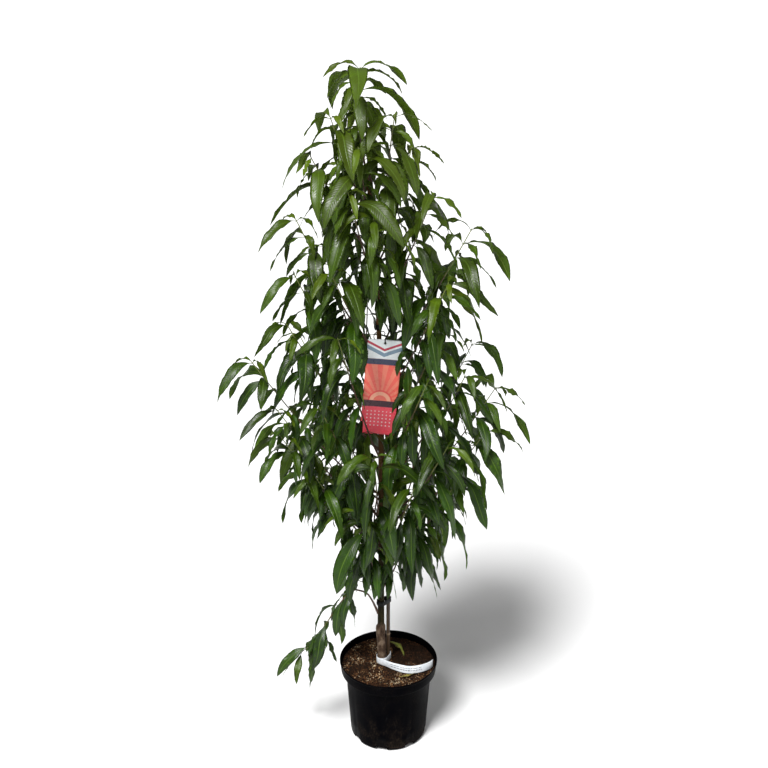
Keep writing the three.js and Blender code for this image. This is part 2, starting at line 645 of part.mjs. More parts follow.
// Which cells of space are taken, and by which shoot.
class Room {
  constructor() {
    this.taken = new Map();
    this.ownLeaves = new Set();
    this.ownStem = new Set();
  }

  // One whole number for a cell.
  key(x, y, z) {
    return ((x + CELL_SPAN / 2) * CELL_SPAN + (y + CELL_SPAN / 2)) * CELL_SPAN + (z + CELL_SPAN / 2);
  }

  cell(point) {
    return [point.x, point.y, point.z].map((value) => Math.floor(value / CELL));
  }

  // The keys of the cells round a point.
  near(point) {
    const [x, y, z] = this.cell(point);
    const keys = [];
    for (let i = -1; i <= 1; i++) {
      for (let j = -1; j <= 1; j++) {
        for (let k = -1; k <= 1; k++) keys.push(this.key(x + i, y + j, z + k));
      }
    }
    return keys;
  }

  startShoot(stem) {
    this.ownLeaves.clear();
    this.ownStem = new Set(stem.flatMap((point) => this.near(point)));
  }

  isFree(points, owner) {
    return points.every(([point, share]) => {
      const away = Math.hypot(point.x, point.y);
      if (away < POT_CLEAR_RADIUS && point.z < POT_CLEAR_HEIGHT) return false;
      if (away < TRUNK_CLEAR_RADIUS && point.z < TRUNK_CLEAR_HEIGHT) return false;
      if (hidesLabel(point) || hidesFoot(point)) return false;
      const key = this.key(...this.cell(point));
      if (share > OWN_LEAF_SHARE && this.ownLeaves.has(key)) return false;
      if (share > OWN_STEM_SHARE && this.ownStem.has(key)) return false;
      const holder = this.taken.get(key);
      return holder === undefined || holder === owner;
    });
  }

  take(points, owner) {
    for (const [point, share] of points) {
      for (const key of this.near(point)) {
        const holder = this.taken.get(key);
        this.taken.set(key, holder === undefined || holder === owner ? owner : SHARED);
        if (share > PETIOLE_SHARE) this.ownLeaves.add(key);
      }
    }
  }
}

// Points spread over the faceted leaf, each with its share of the leaf's length.
function leafPoints(leaf) {
  const { root, rows, tip } = leafSections(leaf);
  const shares = [0, ...LEAF_STATIONS, 1];
  const lines = [
    [root, root, root],
    ...rows.map((row) => [row.left, row.centre, row.right]),
    [tip, tip, tip],
  ];
  const points = [];
  for (let i = 1; i <= ROOM_STEPS; i++) {
    const share = i / ROOM_STEPS;
    let span = 1;
    while (span < shares.length - 1 && shares[span] < share) span++;
    const along = (share - shares[span - 1]) / (shares[span] - shares[span - 1]);
    const [left, centre, right] = lines[span].map((to, k) => lines[span - 1][k].clone().lerp(to, along));
    for (let j = 0; j <= ROOM_ACROSS; j++) {
      const across = (2 * j) / ROOM_ACROSS - 1;
      points.push([centre.clone().lerp(across < 0 ? left : right, Math.abs(across)), share]);
    }
  }
  return points;
}

// Shoots

// The way that a shoot leaves the trunk: towards its tip, but never through the cane.
function outwardAngle(trunk, height, tip) {
  const cane = lineAt(CANE_LINE, height);
  const toCane = Math.atan2(cane[1] - trunk[1], cane[0] - trunk[0]);
  const toTip = Math.atan2(tip[1] - trunk[1], tip[0] - trunk[0]);
  const off = Math.atan2(Math.sin(toTip - toCane), Math.cos(toTip - toCane));
  if (Math.abs(off) > CANE_BERTH) return toTip;
  return toCane + Math.sign(off) * CANE_BERTH;
}

// The stem's line: a cubic curve from the trunk's surface to the tip.
function stemLine([, height, tip, bow]) {
  const [x, y, , radius] = lineAt(TRUNK_LINE, height);
  const angle = outwardAngle([x, y], height, tip);
  const outward = new THREE.Vector3(Math.cos(angle), Math.sin(angle), 0);
  const base = new THREE.Vector3(x, y, height).addScaledVector(outward, radius + FIT_GAP);
  const end = vector(tip);
  if (Array.isArray(bow)) return { controls: [base, ...bow.map(vector), end], outward };
  const run = Math.hypot(end.x - base.x, end.y - base.y);
  const first = base.clone().addScaledVector(outward, Math.max(STEM_LEAST_REACH, run * STEM_FIRST));
  first.z = mix(base.z, end.z, STEM_FIRST) + bow;
  const second = base.clone().lerp(end, STEM_SECOND);
  second.z += bow / 2;
  return { controls: [base, first, second, end], outward };
}

// The leader goes on from the trunk's end.
function leaderLine([, , tip, bow]) {
  const [x, y, z] = TRUNK_LINE.at(-1);
  const base = new THREE.Vector3(x, y, z + LEADER_SEAT);
  return { controls: [base, ...bow.map(vector), vector(tip)], outward: new THREE.Vector3(0, 0, 1) };
}

function stemPoint({ controls }, share) {
  const rest = 1 - share;
  const weights = [rest ** 3, 3 * share * rest ** 2, 3 * share ** 2 * rest, share ** 3];
  return controls.reduce((sum, point, i) => sum.addScaledVector(point, weights[i]), new THREE.Vector3());
}

function stemTangent(line, share) {
  const [before, after] = [Math.max(0, share - 0.01), Math.min(1, share + 0.01)];
  return stemPoint(line, after).sub(stemPoint(line, before)).normalize();
}

function stemLength(line) {
  const steps = 20;
  let length = 0;
  for (let k = 1; k <= steps; k++) {
    length += stemPoint(line, k / steps).distanceTo(stemPoint(line, (k - 1) / steps));
  }
  return length;
}

function nodeShares(nodes) {
  const shares = [];
  for (let k = 0; k < nodes; k++) shares.push(mix(FIRST_NODE, LAST_NODE, k / (nodes - 1)));
  return shares;
}

// Stations along the stem. A leaf node has two, so that its leaves grow from the short band between them.
function stemStations(line, nodes, foot, tip) {
  const half = NODE_HALF / stemLength(line);
  const shares = [0, STEM_COLLAR_SHARE, FIRST_NODE / 2];
  const bands = [];
  for (const share of nodeShares(nodes)) {
    bands.push(shares.length);
    shares.push(share - half, share + half);
  }
  let normal = new THREE.Vector3(0, 0, 1).cross(stemTangent(line, 0));
  if (normal.length() < 0.1) normal.set(1, 0, 0);
  const stations = shares.map((share, i) => {
    const tangent = stemTangent(line, share);
    normal = normal.clone().addScaledVector(tangent, -normal.dot(tangent)).normalize();
    const collar = i === 0 ? STEM_COLLAR : 1;
    const node = Math.max(0, bands.findLastIndex((first) => first <= i));
    return {
      point: stemPoint(line, share),
      tangent,
      normal,
      binormal: tangent.clone().cross(normal),
      radius: mix(foot, tip, share) * collar,
      spin: node * (GOLDEN_ANGLE - (2 * Math.PI) / 3),
    };
  });
  return { stations, bands };
}

function sideways(station, angle) {
  return station.normal
    .clone()
    .multiplyScalar(Math.cos(angle))
    .addScaledVector(station.binormal, Math.sin(angle));
}

// One try at a leaf. Later tries swing it further round, hang it straighter and make it shorter.
function leafTry(random, attempt, station, facing, root, age, length) {
  const draw = (name) => random(...LEAF_DRAW[name]);
  const loose = attempt / LEAF_TRIES;
  const fromStem = mix(...FROM_STEM, age) + draw("fromStem");
  const start = sideways(station, facing)
    .multiplyScalar(Math.sin(fromStem))
    .addScaledVector(station.tangent, Math.cos(fromStem));
  const rise = Math.asin(THREE.MathUtils.clamp(start.z, -1, 1));
  const spread = mix(...LATER_SPREAD, loose);
  const size = length * draw("size") * mix(...LATER_SIZE, loose);
  return {
    root: root.toArray(),
    heading: Math.atan2(start.y, start.x) + random(-spread, spread),
    pitch: mix(rise, OLD_PITCH, age / 2) + draw("lift") * (1 + 2 * loose),
    hang: mix(...HANG, Math.sqrt(age)) + draw("hang"),
    bend: draw("bend"),
    turn: draw("turn"),
    roll: draw("roll"),
    twist: draw("twist"),
    length: size,
    half: size * draw("half") * mix(YOUNG_NARROWNESS, 1, age),
    fold: draw("fold"),
    wave: draw("wave"),
    phase: draw("phase"),
  };
}

// Whether a leaf's first section lies clear of the stem's side.
function standsOff(leaf, station, facing) {
  const outward = sideways(station, facing);
  const least = station.radius / 2 + LEAST_STAND_OFF;
  const ring = bladeRing(leafSections(leaf).rows[0]);
  return ring.every((point) => point.sub(station.point).dot(outward) > least);
}

// The first try at a leaf that finds a free place, or null where none does.
function placeLeaf(room, owner, random, station, facing, root, age, length) {
  for (let attempt = 0; attempt < LEAF_TRIES; attempt++) {
    const leaf = leafTry(random, attempt, station, facing, root, age, length);
    const points = leafPoints(leaf);
    if (standsOff(leaf, station, facing) && room.isFree(points, owner)) {
      room.take(points, owner);
      return leaf;
    }
  }
  return null;
}

// Grows the leaves of one shoot, one from each side of the stem at each node.
function growLeaves(room, owner, stations, bands, nodes, length, seed) {
  const random = seeded(seed);
  const leaves = [];
  for (let node = 0; node < nodes; node++) {
    const [low, high] = [stations[bands[node]], stations[bands[node] + 1]];
    const root = low.point.clone().lerp(high.point, 0.5);
    const age = 1 - node / (nodes - 1);
    const young = node === nodes - 1 ? YOUNG_SHARE : 1;
    NODE_SIZES.forEach((share, k) => {
      const face = (node + k) % 3;
      const facing = low.spin + Math.PI / 3 + (face * 2 * Math.PI) / 3;
      const leaf = placeLeaf(room, owner, random, low, facing, root, age, length * share * young);
      if (leaf !== null) leaves.push({ leaf, node, face });
    });
  }
  return leaves;
}

// The corner of a band that lies nearest a leaf's left edge, so that the leaf's foot twists least.
function firstCorner(corners, outer) {
  let best = 0;
  let least = Infinity;
  for (let turn = 0; turn < 4; turn++) {
    const far = outer.reduce((sum, point, k) => sum + point.distanceToSquared(corners[(k + turn) % 4]), 0);
    if (far < least) {
      least = far;
      best = turn;
    }
  }
  return best;
}

// The faces between two rings of a leaf: [left, top, right, under].
// The top and the underside are split along the same lines, from the edges to the midrib.
function bladeFaces(ring, outer) {
  const [left, top, right, under] = ring;
  const [nextLeft, nextTop, nextRight, nextUnder] = outer;
  return [
    [left, top, nextTop, nextLeft],
    [right, nextRight, nextTop, top],
    [right, under, nextUnder, nextRight],
    [left, nextLeft, nextUnder, under],
  ].flatMap(([a, b, c, d]) => [a, b, c, a, c, d]);
}

// The shoot's closed surface: a three-sided stem whose node bands open into leaves.
function shootGeometry(line, stations, bands, leaves) {
  const points = [];
  const faces = [];
  const add = (point) => points.push(point) - 1;
  const rings = stations.map((station, i) =>
    [0, 1, 2].map((corner) => {
      const away = sideways(station, station.spin + (corner * 2 * Math.PI) / 3);
      const point = station.point.clone().addScaledVector(away, station.radius);
      if (i > 0) return add(point);
      // The foot is cut flat along the bark.
      const past = point.clone().sub(station.point).dot(line.outward) / station.tangent.dot(line.outward);
      return add(point.addScaledVector(station.tangent, -past));
    }),
  );
  faces.push(rings[0][0], rings[0][2], rings[0][1]);
  for (let i = 0; i < rings.length - 1; i++) {
    for (let face = 0; face < 3; face++) {
      const next = (face + 1) % 3;
      const corners = [rings[i][face], rings[i][next], rings[i + 1][next], rings[i + 1][face]];
      const grown = leaves.find((each) => bands[each.node] === i && each.face === face);
      if (grown === undefined) {
        const [a, b, c, d] = corners;
        faces.push(a, b, c, a, c, d);
        continue;
      }
      const { rows, tip } = leafSections(grown.leaf);
      let ring = null;
      for (const row of rows) {
        const outer = bladeRing(row);
        if (ring === null) {
          const turn = firstCorner(corners.map((corner) => points[corner]), outer);
          ring = corners.map((_, k) => corners[(k + turn) % 4]);
        }
        const added = outer.map(add);
        faces.push(...bladeFaces(ring, added));
        ring = added;
      }
      const end = add(tip);
      for (let k = 0; k < 4; k++) faces.push(ring[k], ring[(k + 1) % 4], end);
    }
  }
  const last = rings.at(-1);
  const end = add(stations.at(-1).point.clone().addScaledVector(stations.at(-1).tangent, BUD_LENGTH));
  for (let k = 0; k < 3; k++) faces.push(last[k], last[(k + 1) % 3], end);
  return closedGeometry(points, faces);
}

function bladeRing(row) {
  return [
    row.left,
    row.centre.clone().addScaledVector(row.up, BLADE_THICKNESS / 2),
    row.right,
    row.centre.clone().addScaledVector(row.up, -BLADE_THICKNESS / 2),
  ];
}

function closedGeometry(points, faces) {
  const geometry = new THREE.BufferGeometry();
  geometry.setAttribute("position", new THREE.Float32BufferAttribute(points.flatMap((p) => p.toArray()), 3));
  geometry.setIndex(faces);
  geometry.computeVertexNormals();
  return geometry;
}

// Marks the room that the trunk, the cane and the label take.
function takeFixedRoom(room) {
  const top = CANE_LINE.at(-1)[2];
  for (let z = POT_HEIGHT; z < top; z += CELL) {
    for (const [x, y, , radius] of [lineAt(TRUNK_LINE, z), lineAt(CANE_LINE, z)]) {
      for (let angle = 0; angle < 2 * Math.PI; angle += Math.PI / 4) {
        const point = new THREE.Vector3(x + radius * Math.cos(angle), y + radius * Math.sin(angle), z);
        room.take([[point, 0]], FIXED);
      }
    }
  }
  for (let down = -LOOP_REACH; down < LABEL_HEIGHT; down += CELL) {
    for (let across = -LABEL_WIDTH / 2; across <= LABEL_WIDTH / 2; across += CELL) {
      const x = LABEL_HOLE_AT[0] + across - down * Math.sin(LABEL_LEAN);
      room.take([[new THREE.Vector3(x, LABEL_HOLE_AT[1], LABEL_HOLE_AT[2] - down), 0]], FIXED);
    }
  }
}

function growTree() {
  const room = new Room();
  takeFixedRoom(room);
  const rows = [...SHOOTS, LOW_TWIG, LOW_SPRIG, LEADER];
  const shoots = rows.map((row, index) => {
    const [name, , , , nodes, length] = row;
    const line = name === "leader" ? leaderLine(row) : stemLine(row);
    const foot = name === "low_sprig" ? SPRIG_FOOT_RADIUS : STEM_FOOT_RADIUS;
    const { stations, bands } = stemStations(line, nodes, foot, STEM_TIP_RADIUS);
    const stem = [];
    for (let k = 1; k <= STEM_POINTS; k++) stem.push(stemPoint(line, k / STEM_POINTS));
    room.take(stem.map((point) => [point, 0]), index);
    return { name, index, line, nodes, length, stations, bands, stem };
  });
  return shoots.map((shoot) => {
    const { name, index, line, nodes, length, stations, bands, stem } = shoot;
    room.startShoot(stem);
    const leaves = growLeaves(room, index, stations, bands, nodes, length, SEED + SEED_STEP * index);
    return { name, leaves, geometry: shootGeometry(line, stations, bands, leaves) };
  });
}

// A fallen leaf lies on the soil as a closed blade of its own.
function looseLeafGeometry(leaf) {
  const { root: start, rows, tip } = leafSections(leaf);
  const points = [start, ...rows.flatMap(bladeRing), tip];
  const faces = [];
  const rings = rows.map((_, i) => [0, 1, 2, 3].map((k) => 1 + 4 * i + k));
  for (let k = 0; k < 4; k++) {
    faces.push(0, rings[0][(k + 1) % 4], rings[0][k]);
    faces.push(rings.at(-1)[k], rings.at(-1)[(k + 1) % 4], points.length - 1);
  }
  for (let i = 1; i < rings.length; i++) faces.push(...bladeFaces(rings[i - 1], rings[i]));
  return closedGeometry(points, faces);
}

const FLAT_LEAF = { bend: 1, roll: 0, twist: 0.1, fold: 0.25, wave: 0, phase: 0 };
const FALLEN_LEAVES = [
  {
    name: "fallen_leaf_green",
    material: FADED_LEAF_FINISH,
    leaf: { root: [-2, 86, 220], heading: -0.35, pitch: 0.25, hang: -0.45, turn: -1.1, length: 78, half: 9 },
  },
  {
    name: "fallen_leaf_yellow",
    material: DRY_LEAF_FINISH,
    leaf: { root: [28, -68, 215.5], heading: 0.1, pitch: 0.1, hang: -0.1, turn: 0.5, length: 46, half: 6 },
  },
];

const root = new THREE.Group();
root.name = "potted_nectarine_tree";
root.add(named("pot", potGeometry(), POT_FINISH));
root.add(named("soil", soilGeometry(), SOIL_FINISH));
root.add(named("trunk", rodGeometry(TRUNK_LINE), BARK_FINISH));
root.add(named("cane", rodGeometry(knottedLine()), CANE_FINISH));
TIE_HEIGHTS.forEach((height, i) => root.add(named(TIE_NAMES[i], tieGeometry(height), TIE_FINISH)));
root.add(named("hang_label", labelGeometry(), LABEL_FINISH));
root.add(named("label_loop", loopGeometry(), TIE_FINISH));
root.add(named("strap_tag", strapGeometry(), STRAP_FINISH));
for (const { name, material, leaf } of FALLEN_LEAVES) {
  root.add(named(name, looseLeafGeometry({ ...FLAT_LEAF, ...leaf }), material));
}
for (const { name, geometry } of growTree()) root.add(named(name, geometry, LEAF_FINISH));

export default root;
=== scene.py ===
"""Finished look of the potted nectarine tree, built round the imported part. Metres, +Z up, -Y the front."""

import math
import random
from collections import Counter
from itertools import combinations

import bpy
import numpy as np
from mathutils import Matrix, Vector, noise


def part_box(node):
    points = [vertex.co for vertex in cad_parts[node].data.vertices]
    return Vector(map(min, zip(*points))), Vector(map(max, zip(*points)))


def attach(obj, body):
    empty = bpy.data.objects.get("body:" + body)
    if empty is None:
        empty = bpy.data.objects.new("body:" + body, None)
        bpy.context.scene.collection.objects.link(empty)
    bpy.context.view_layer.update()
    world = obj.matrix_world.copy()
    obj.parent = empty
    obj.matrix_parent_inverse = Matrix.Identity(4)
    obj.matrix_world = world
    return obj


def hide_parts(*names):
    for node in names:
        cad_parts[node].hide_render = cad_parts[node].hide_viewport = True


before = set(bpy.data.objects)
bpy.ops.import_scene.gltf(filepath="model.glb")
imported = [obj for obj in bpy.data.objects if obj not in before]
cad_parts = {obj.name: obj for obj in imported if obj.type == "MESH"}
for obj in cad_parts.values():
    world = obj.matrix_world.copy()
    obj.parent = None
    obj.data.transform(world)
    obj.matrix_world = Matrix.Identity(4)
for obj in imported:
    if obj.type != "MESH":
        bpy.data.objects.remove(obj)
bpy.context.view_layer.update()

MM = 0.001
BODY = "root"

# Camera: the photograph's place and lens
CAMERA_AT = (-0.012, -2.62, 2.07)
CAMERA_PITCH = math.radians(21.8)  # below the horizon
CAMERA_LENS = 54.2

# Light: a broad soft key from above the left front, a weak fill from the right and a pale surround
KEY_FROM = (-0.42, -0.74, 1.28)  # direction from the plant
KEY_STRENGTH = 4.8
KEY_SOFTNESS = math.radians(20)
FILL_AT, FILL_SIZE, FILL_POWER = (2.6, -2.4, 2.4), 2.5, 22
FILL_AIM = (0, 0, 0.9)
SKY_STRENGTH = 0.22
FLOOR_REACH = 120

# Leaves. Shares are of the leaf's length from its root, and lie across it in half widths.
RING_SHARE = 0.4  # where the faceted leaf has its ring
PETIOLE_SHARE = 0.07
FLAT_FROM, FLAT_RUN = 0.05, 0.08  # where the petiole flattens into the blade
BASE_POWER, TIP_POWER = 0.95, 1.05  # how the outline widens and narrows
OUTLINE_PEAK = 0.2506  # what the outline is divided by, so that its widest place is 1
TAIL = 0.55  # how much the blade narrows towards a drawn-out tip
ALONG = (0, 0.03, 0.07, 0.1, 0.14, 0.19, *(0.25 + 0.06 * i for i in range(11)), 0.9, 0.95)
HALF_SPAN = 0.03  # half the way from one of these to the next
# Round a section: the left edge, over the top, the right edge and back underneath
AROUND = (-1, -0.68, -0.32, 0, 0.32, 0.68, 1, 0.68, 0.32, 0, -0.32, -0.68)
LEFT, RIGHT, STRIDE = 0, 6, len(AROUND)
TEETH = ((0.42, 1), (0.5, 0), (0.92, 1))  # along each span of the margin, and whether it is a tooth's point
TEETH_FROM = 2  # the first span with teeth
TOOTH = 0.7 * MM
TOOTH_MIDDLE = 0.35  # of a tooth's height that lies inside the margin
PETIOLE_HALF = 0.9 * MM
PETIOLE_THICK = 0.7 * MM
BLADE_HALF = 0.2 * MM  # half its thickness
GROOVE = 0.15 * MM  # depth over the midrib
RIB = 0.75 * MM  # its height under the blade, at the base
WIDTH = (0.78, 1.02)  # of the solid leaf's
TWIST = 1.35  # radians at the tip, either way
HOOK, TIP_HOOK = (-0.05, 0.08), 1.3  # the tip's bend downwards, of the length, and the last point's, of that
SWAY = 0.035  # of the length, the outer part's bow to either side
WAVES, WAVE = 2.5, (1.2 * MM, 3.8 * MM)  # of the margins, opposite on the two sides
RIPPLES, RIPPLE = 6.5, (0.7 * MM, 2.1 * MM)
DROOP = (0.02, 0.3)  # of the half width, how far the margins hang


# Meshes

SAME_PLACE = 2e-6  # points of the solids closer than this are one


def put(name, data, at=(0, 0, 0)):
    """Puts a mesh, a light or a camera into the scene."""
    thing = bpy.data.objects.new(name, data)
    thing.location = at
    bpy.context.scene.collection.objects.link(thing)
    return thing


def new_mesh(name, points, faces, materials=()):
    mesh = bpy.data.meshes.new(name)
    mesh.from_pydata(np.asarray(points, float).tolist(), [], faces)
    for material in materials:
        mesh.materials.append(material)
    return mesh


def add_piece(name, points, faces, materials, looks=None, **values):
    """A smooth mesh object riding on the part. looks gives each face's material number, and values give
    numbers for each point, which materials read by name."""
    mesh = new_mesh(name, points, faces, materials)
    if looks is not None:
        mesh.polygons.foreach_set("material_index", looks)
    mesh.polygons.foreach_set("use_smooth", [True] * len(faces))
    mesh.update()
    for value, numbers in values.items():
        layer = mesh.attributes.new(value, "FLOAT", "POINT")
        layer.data.foreach_set("value", np.asarray(numbers, np.float32))
    piece = put(name, mesh)
    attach(piece, BODY)
    return piece


def cad_mesh(node):
    """A CAD node's points, each once, and its triangles."""
    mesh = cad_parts[node].data
    mesh.calc_loop_triangles()
    points = np.array([v.co for v in mesh.vertices], float)
    grid = np.round(points / SAME_PLACE).astype(np.int64)
    _, first, same = np.unique(grid, axis=0, return_index=True, return_inverse=True)
    triangles = same.ravel()[np.array([t.vertices for t in mesh.loop_triangles])]
    return points[first], triangles.reshape(-1, 3)


def unit(vector):
    return vector / max(1e-12, np.linalg.norm(vector))


def polar(r, angle, x=0.0, y=0.0):
    return x + r * math.cos(angle), y + r * math.sin(angle)


def bell(x, centre, width):
    """1 at the centre, falling off smoothly on both sides."""
    return math.exp(-(((x - centre) / width) ** 2))


def catmull(points, steps):
    """A smooth line through the points, in so many steps from one to the next. Rows may hold a radius too."""
    points = np.asarray(points, float)
    padded = np.vstack([2 * points[0] - points[1], points, 2 * points[-1] - points[-2]])
    line = []
    for i in range(len(points) - 1):
        a, b, c, d = padded[i : i + 4]
        for k in range(steps):
            t = k / steps
            bend, skew = 2 * a - 5 * b + 4 * c - d, 3 * b - a - 3 * c + d
            line.append(0.5 * (2 * b + (c - a) * t + bend * t**2 + skew * t**3))
    line.append(points[-1])
    return np.array(line)


def tangents_of(line):
    tangents = np.gradient(line, axis=0)
    return tangents / np.linalg.norm(tangents, axis=1)[:, None]


def frames_along(line):
    """Two sideways directions at each point of a line, which turn with it as little as they can."""
    tangents = tangents_of(line)
    upright = abs(tangents[0][2]) > 0.9
    side = np.array((1.0, 0.0, 0.0) if upright else (0.0, 0.0, 1.0))
    sides = []
    for tangent in tangents:
        side = unit(side - (side @ tangent) * tangent)
        sides.append(side)
    sides = np.array(sides)
    return sides, np.cross(tangents, sides)


def circle(count):
    return np.arange(count) * 2 * math.pi / count


def tube_faces(rings, around, closed=False):
    """Quads of a tube whose points come ring by ring."""
    faces = []
    for i in range(rings if closed else rings - 1):
        low, high = i * around, (i + 1) % rings * around
        for k in range(around):
            after = (k + 1) % around
            faces.append((low + k, low + after, high + after, high + k))
    return faces


def capped_tube_faces(rings, around):
    first, last = range(around - 1, -1, -1), range((rings - 1) * around, rings * around)
    return [*tube_faces(rings, around), tuple(first), tuple(last)]


def tube(line, radii, around):
    """A round tube's points and faces, closed at both ends."""
    sides, ups = frames_along(line)
    angles = circle(around)
    rings = (
        line[:, None]
        + sides[:, None] * (np.cos(angles)[None, :, None] * radii[:, None, None])
        + ups[:, None] * (np.sin(angles)[None, :, None] * radii[:, None, None])
    )
    return rings.reshape(-1, 3), capped_tube_faces(len(line), around)


# Materials

SUNLIT_TOP_FROM = 1.15  # height from where the leaves are tinted lighter: painted light on the sunlit top of the crown
UNION = 0.327  # height of the graft union


class Look:
    """A material's nodes, written as short calls."""

    def __init__(self, name):
        self.material = bpy.data.materials.new(name)
        self.material.use_nodes = True
        self.tree = self.material.node_tree
        self.shader = self.tree.nodes["Principled BSDF"]
        self.at = self.add("TexCoord").outputs["Object"]

    def add(self, kind, **settings):
        node = self.tree.nodes.new("ShaderNode" + kind)
        for key, value in settings.items():
            setattr(node, key, value)
        return node

    def feed(self, node, **values):
        """Sets or links sockets by name, with _ for a space."""
        for key, value in values.items():
            socket = node.inputs[int(key[1:])] if key[1:].isdigit() else node.inputs[key.replace("_", " ")]
            if isinstance(value, bpy.types.NodeSocket):
                self.tree.links.new(value, socket)
            else:
                socket.default_value = value
        return node

    def math(self, operation, a, b=0.0, c=0.0, clamp=False):
        node = self.add("Math", operation=operation, use_clamp=clamp)
        return self.feed(node, i0=a, i1=b, i2=c).outputs[0]

    def times(self, a, b, **settings):
        return self.math("MULTIPLY", a, b, **settings)

    def plus(self, a, b):
        return self.math("ADD", a, b)

    def minus(self, a, b):
        return self.math("SUBTRACT", a, b)

    def value(self, name):
        return self.add("Attribute", attribute_name=name).outputs["Fac"]

    def place(self, stretch):
        if stretch is None:
            return self.at
        return self.feed(self.add("Mapping"), Vector=self.at, Scale=stretch).outputs[0]

    def noise(self, scale, detail=4.0, stretch=None, roughness=0.55, distortion=0.0):
        settings = {"Scale": scale, "Detail": detail, "Roughness": roughness, "Distortion": distortion}
        return self.feed(self.add("TexNoise"), Vector=self.place(stretch), **settings).outputs["Fac"]

    def cells(self, scale, stretch=None, feature="F1"):
        node = self.add("TexVoronoi", feature=feature)
        return self.feed(node, Vector=self.place(stretch), Scale=scale).outputs["Distance"]

    def height(self):
        return self.feed(self.add("SeparateXYZ"), Vector=self.at).outputs["Z"]

    def ramp(self, factor, *stops):
        """stops are (place, colour or grey)."""
        node = self.add("ValToRGB")
        elements = node.color_ramp.elements
        elements[0].position, elements[1].position = stops[0][0], stops[-1][0]
        for place, _ in stops[1:-1]:
            elements.new(place)
        for element, (_, colour) in zip(elements, stops):
            element.color = colour if isinstance(colour, tuple) else (colour, colour, colour, 1)
        self.feed(node, Fac=factor)
        return node.outputs["Color"]

    def mix(self, factor, a, b, blend="MIX"):
        node = self.add("Mix", data_type="RGBA", blend_type=blend, clamp_factor=True)
        return self.feed(node, i0=factor, i6=a, i7=b).outputs[2]

    def tint(self, colour, mask, share, tint):
        """The colour, with the share of the tint where the mask is 1."""
        return self.mix(self.times(mask, share), colour, tint)

    def bump(self, *heights):
        """Each height is (field, distance in metres, strength), laid over the last."""
        normal = None
        for field, distance, strength in heights:
            node = self.feed(self.add("Bump"), Height=field, Distance=distance, Strength=strength)
            if normal is not None:
                self.feed(node, Normal=normal)
            normal = node.outputs[0]
        self.feed(self.shader, Normal=normal)

    def finish(self, colour, roughness, shine=0.5):
        self.feed(self.shader, Base_Color=colour, Roughness=roughness, Specular_IOR_Level=shine)
        return self.material


def srgb(red, green, blue):
    """A colour as seen on screen, 0 to 255, in the shader's linear numbers."""
    screen = (red / 255, green / 255, blue / 255)
    return (*(c / 12.92 if c <= 0.04045 else ((c + 0.055) / 1.055) ** 2.4 for c in screen), 1)


def leaf_look(name, underside):
    """A leaf's upper or under side: tone and youth are the leaf's own, along and across lie on its blade."""
    look = Look(name)
    along, across = look.value("along"), look.value("across")
    tone, youth = look.value("tone"), look.value("youth")
    # Side veins leave the midrib at a slant and bend forward towards the margin.
    slant = look.times(look.math("POWER", across, 1.25), 0.115)
    place = look.times(look.minus(along, slant), 24.0)
    wobble = look.times(look.noise(60, 2), 0.5)
    beat = look.math("FRACT", look.plus(place, wobble))
    from_vein = look.math("ABSOLUTE", look.minus(beat, 0.5))
    vein = look.ramp(from_vein, (0.0, 1.0), (0.1, 0.0))
    quilt = look.ramp(from_vein, (0.0, 0.0), (0.5, 1.0))
    midrib = look.ramp(across, (0.035, 1.0), (0.085, 0.0))
    lines = look.math("MAXIMUM", look.times(vein, 0.45), midrib)
    mottle = look.noise(35, 5)
    fine = look.noise(420, 3)
    if underside:
        old = look.mix(tone, srgb(45, 75, 12), srgb(70, 101, 26))
        young = srgb(120, 142, 44)
        rib = srgb(132, 152, 70)
    else:
        old = look.mix(tone, srgb(8, 31, 0), srgb(39, 72, 1))
        young = srgb(112, 132, 16)
        rib = srgb(92, 122, 32)
    body = look.mix(youth, old, young)
    shade = look.ramp(mottle, (0.3, 0.62), (0.7, 1.3))
    body = look.mix(1.0, body, shade, "MULTIPLY")
    # Painted light: the crown's top is tinted lighter, as where sunlight falls on it from above.
    high = look.times(look.minus(look.height(), SUNLIT_TOP_FROM), 2.0, clamp=True)
    body = look.tint(body, high, 0.22, srgb(128, 146, 30))
    body = look.tint(body, fine, 0.25, srgb(38, 60, 2))
    body = look.mix(look.times(lines, 0.6), body, rib)
    edge = look.ramp(look.plus(across, look.times(mottle, 0.2)), (1.02, 0.0), (1.12, 1.0))
    body = look.tint(body, edge, 0.5, srgb(120, 112, 50))
    shiny, dull = (0.52, 0.68) if underside else (0.3, 0.46)
    gloss = look.ramp(look.noise(90, 4), (0.35, shiny), (0.65, dull))
    look.bump(
        (quilt, 0.6 * MM, 0.3),
        (midrib, (0.6 if underside else -0.6) * MM, 0.8),
        (mottle, 1.6 * MM, 0.45),
        (fine, 0.1 * MM, 0.5),
    )
    look.finish(body, gloss, shine=0.14 if underside else 0.38)
    glow = look.add("BsdfTranslucent")
    light = look.mix(0.45, body, srgb(130, 165, 16))
    look.feed(glow, Color=light, Normal=look.shader.inputs["Normal"].links[0].from_socket)
    both = look.feed(look.add("MixShader"), Fac=0.15, i1=look.shader.outputs[0], i2=glow.outputs[0])
    output = look.tree.nodes["Material Output"]
    look.feed(output, Surface=both.outputs[0])
    return look.material


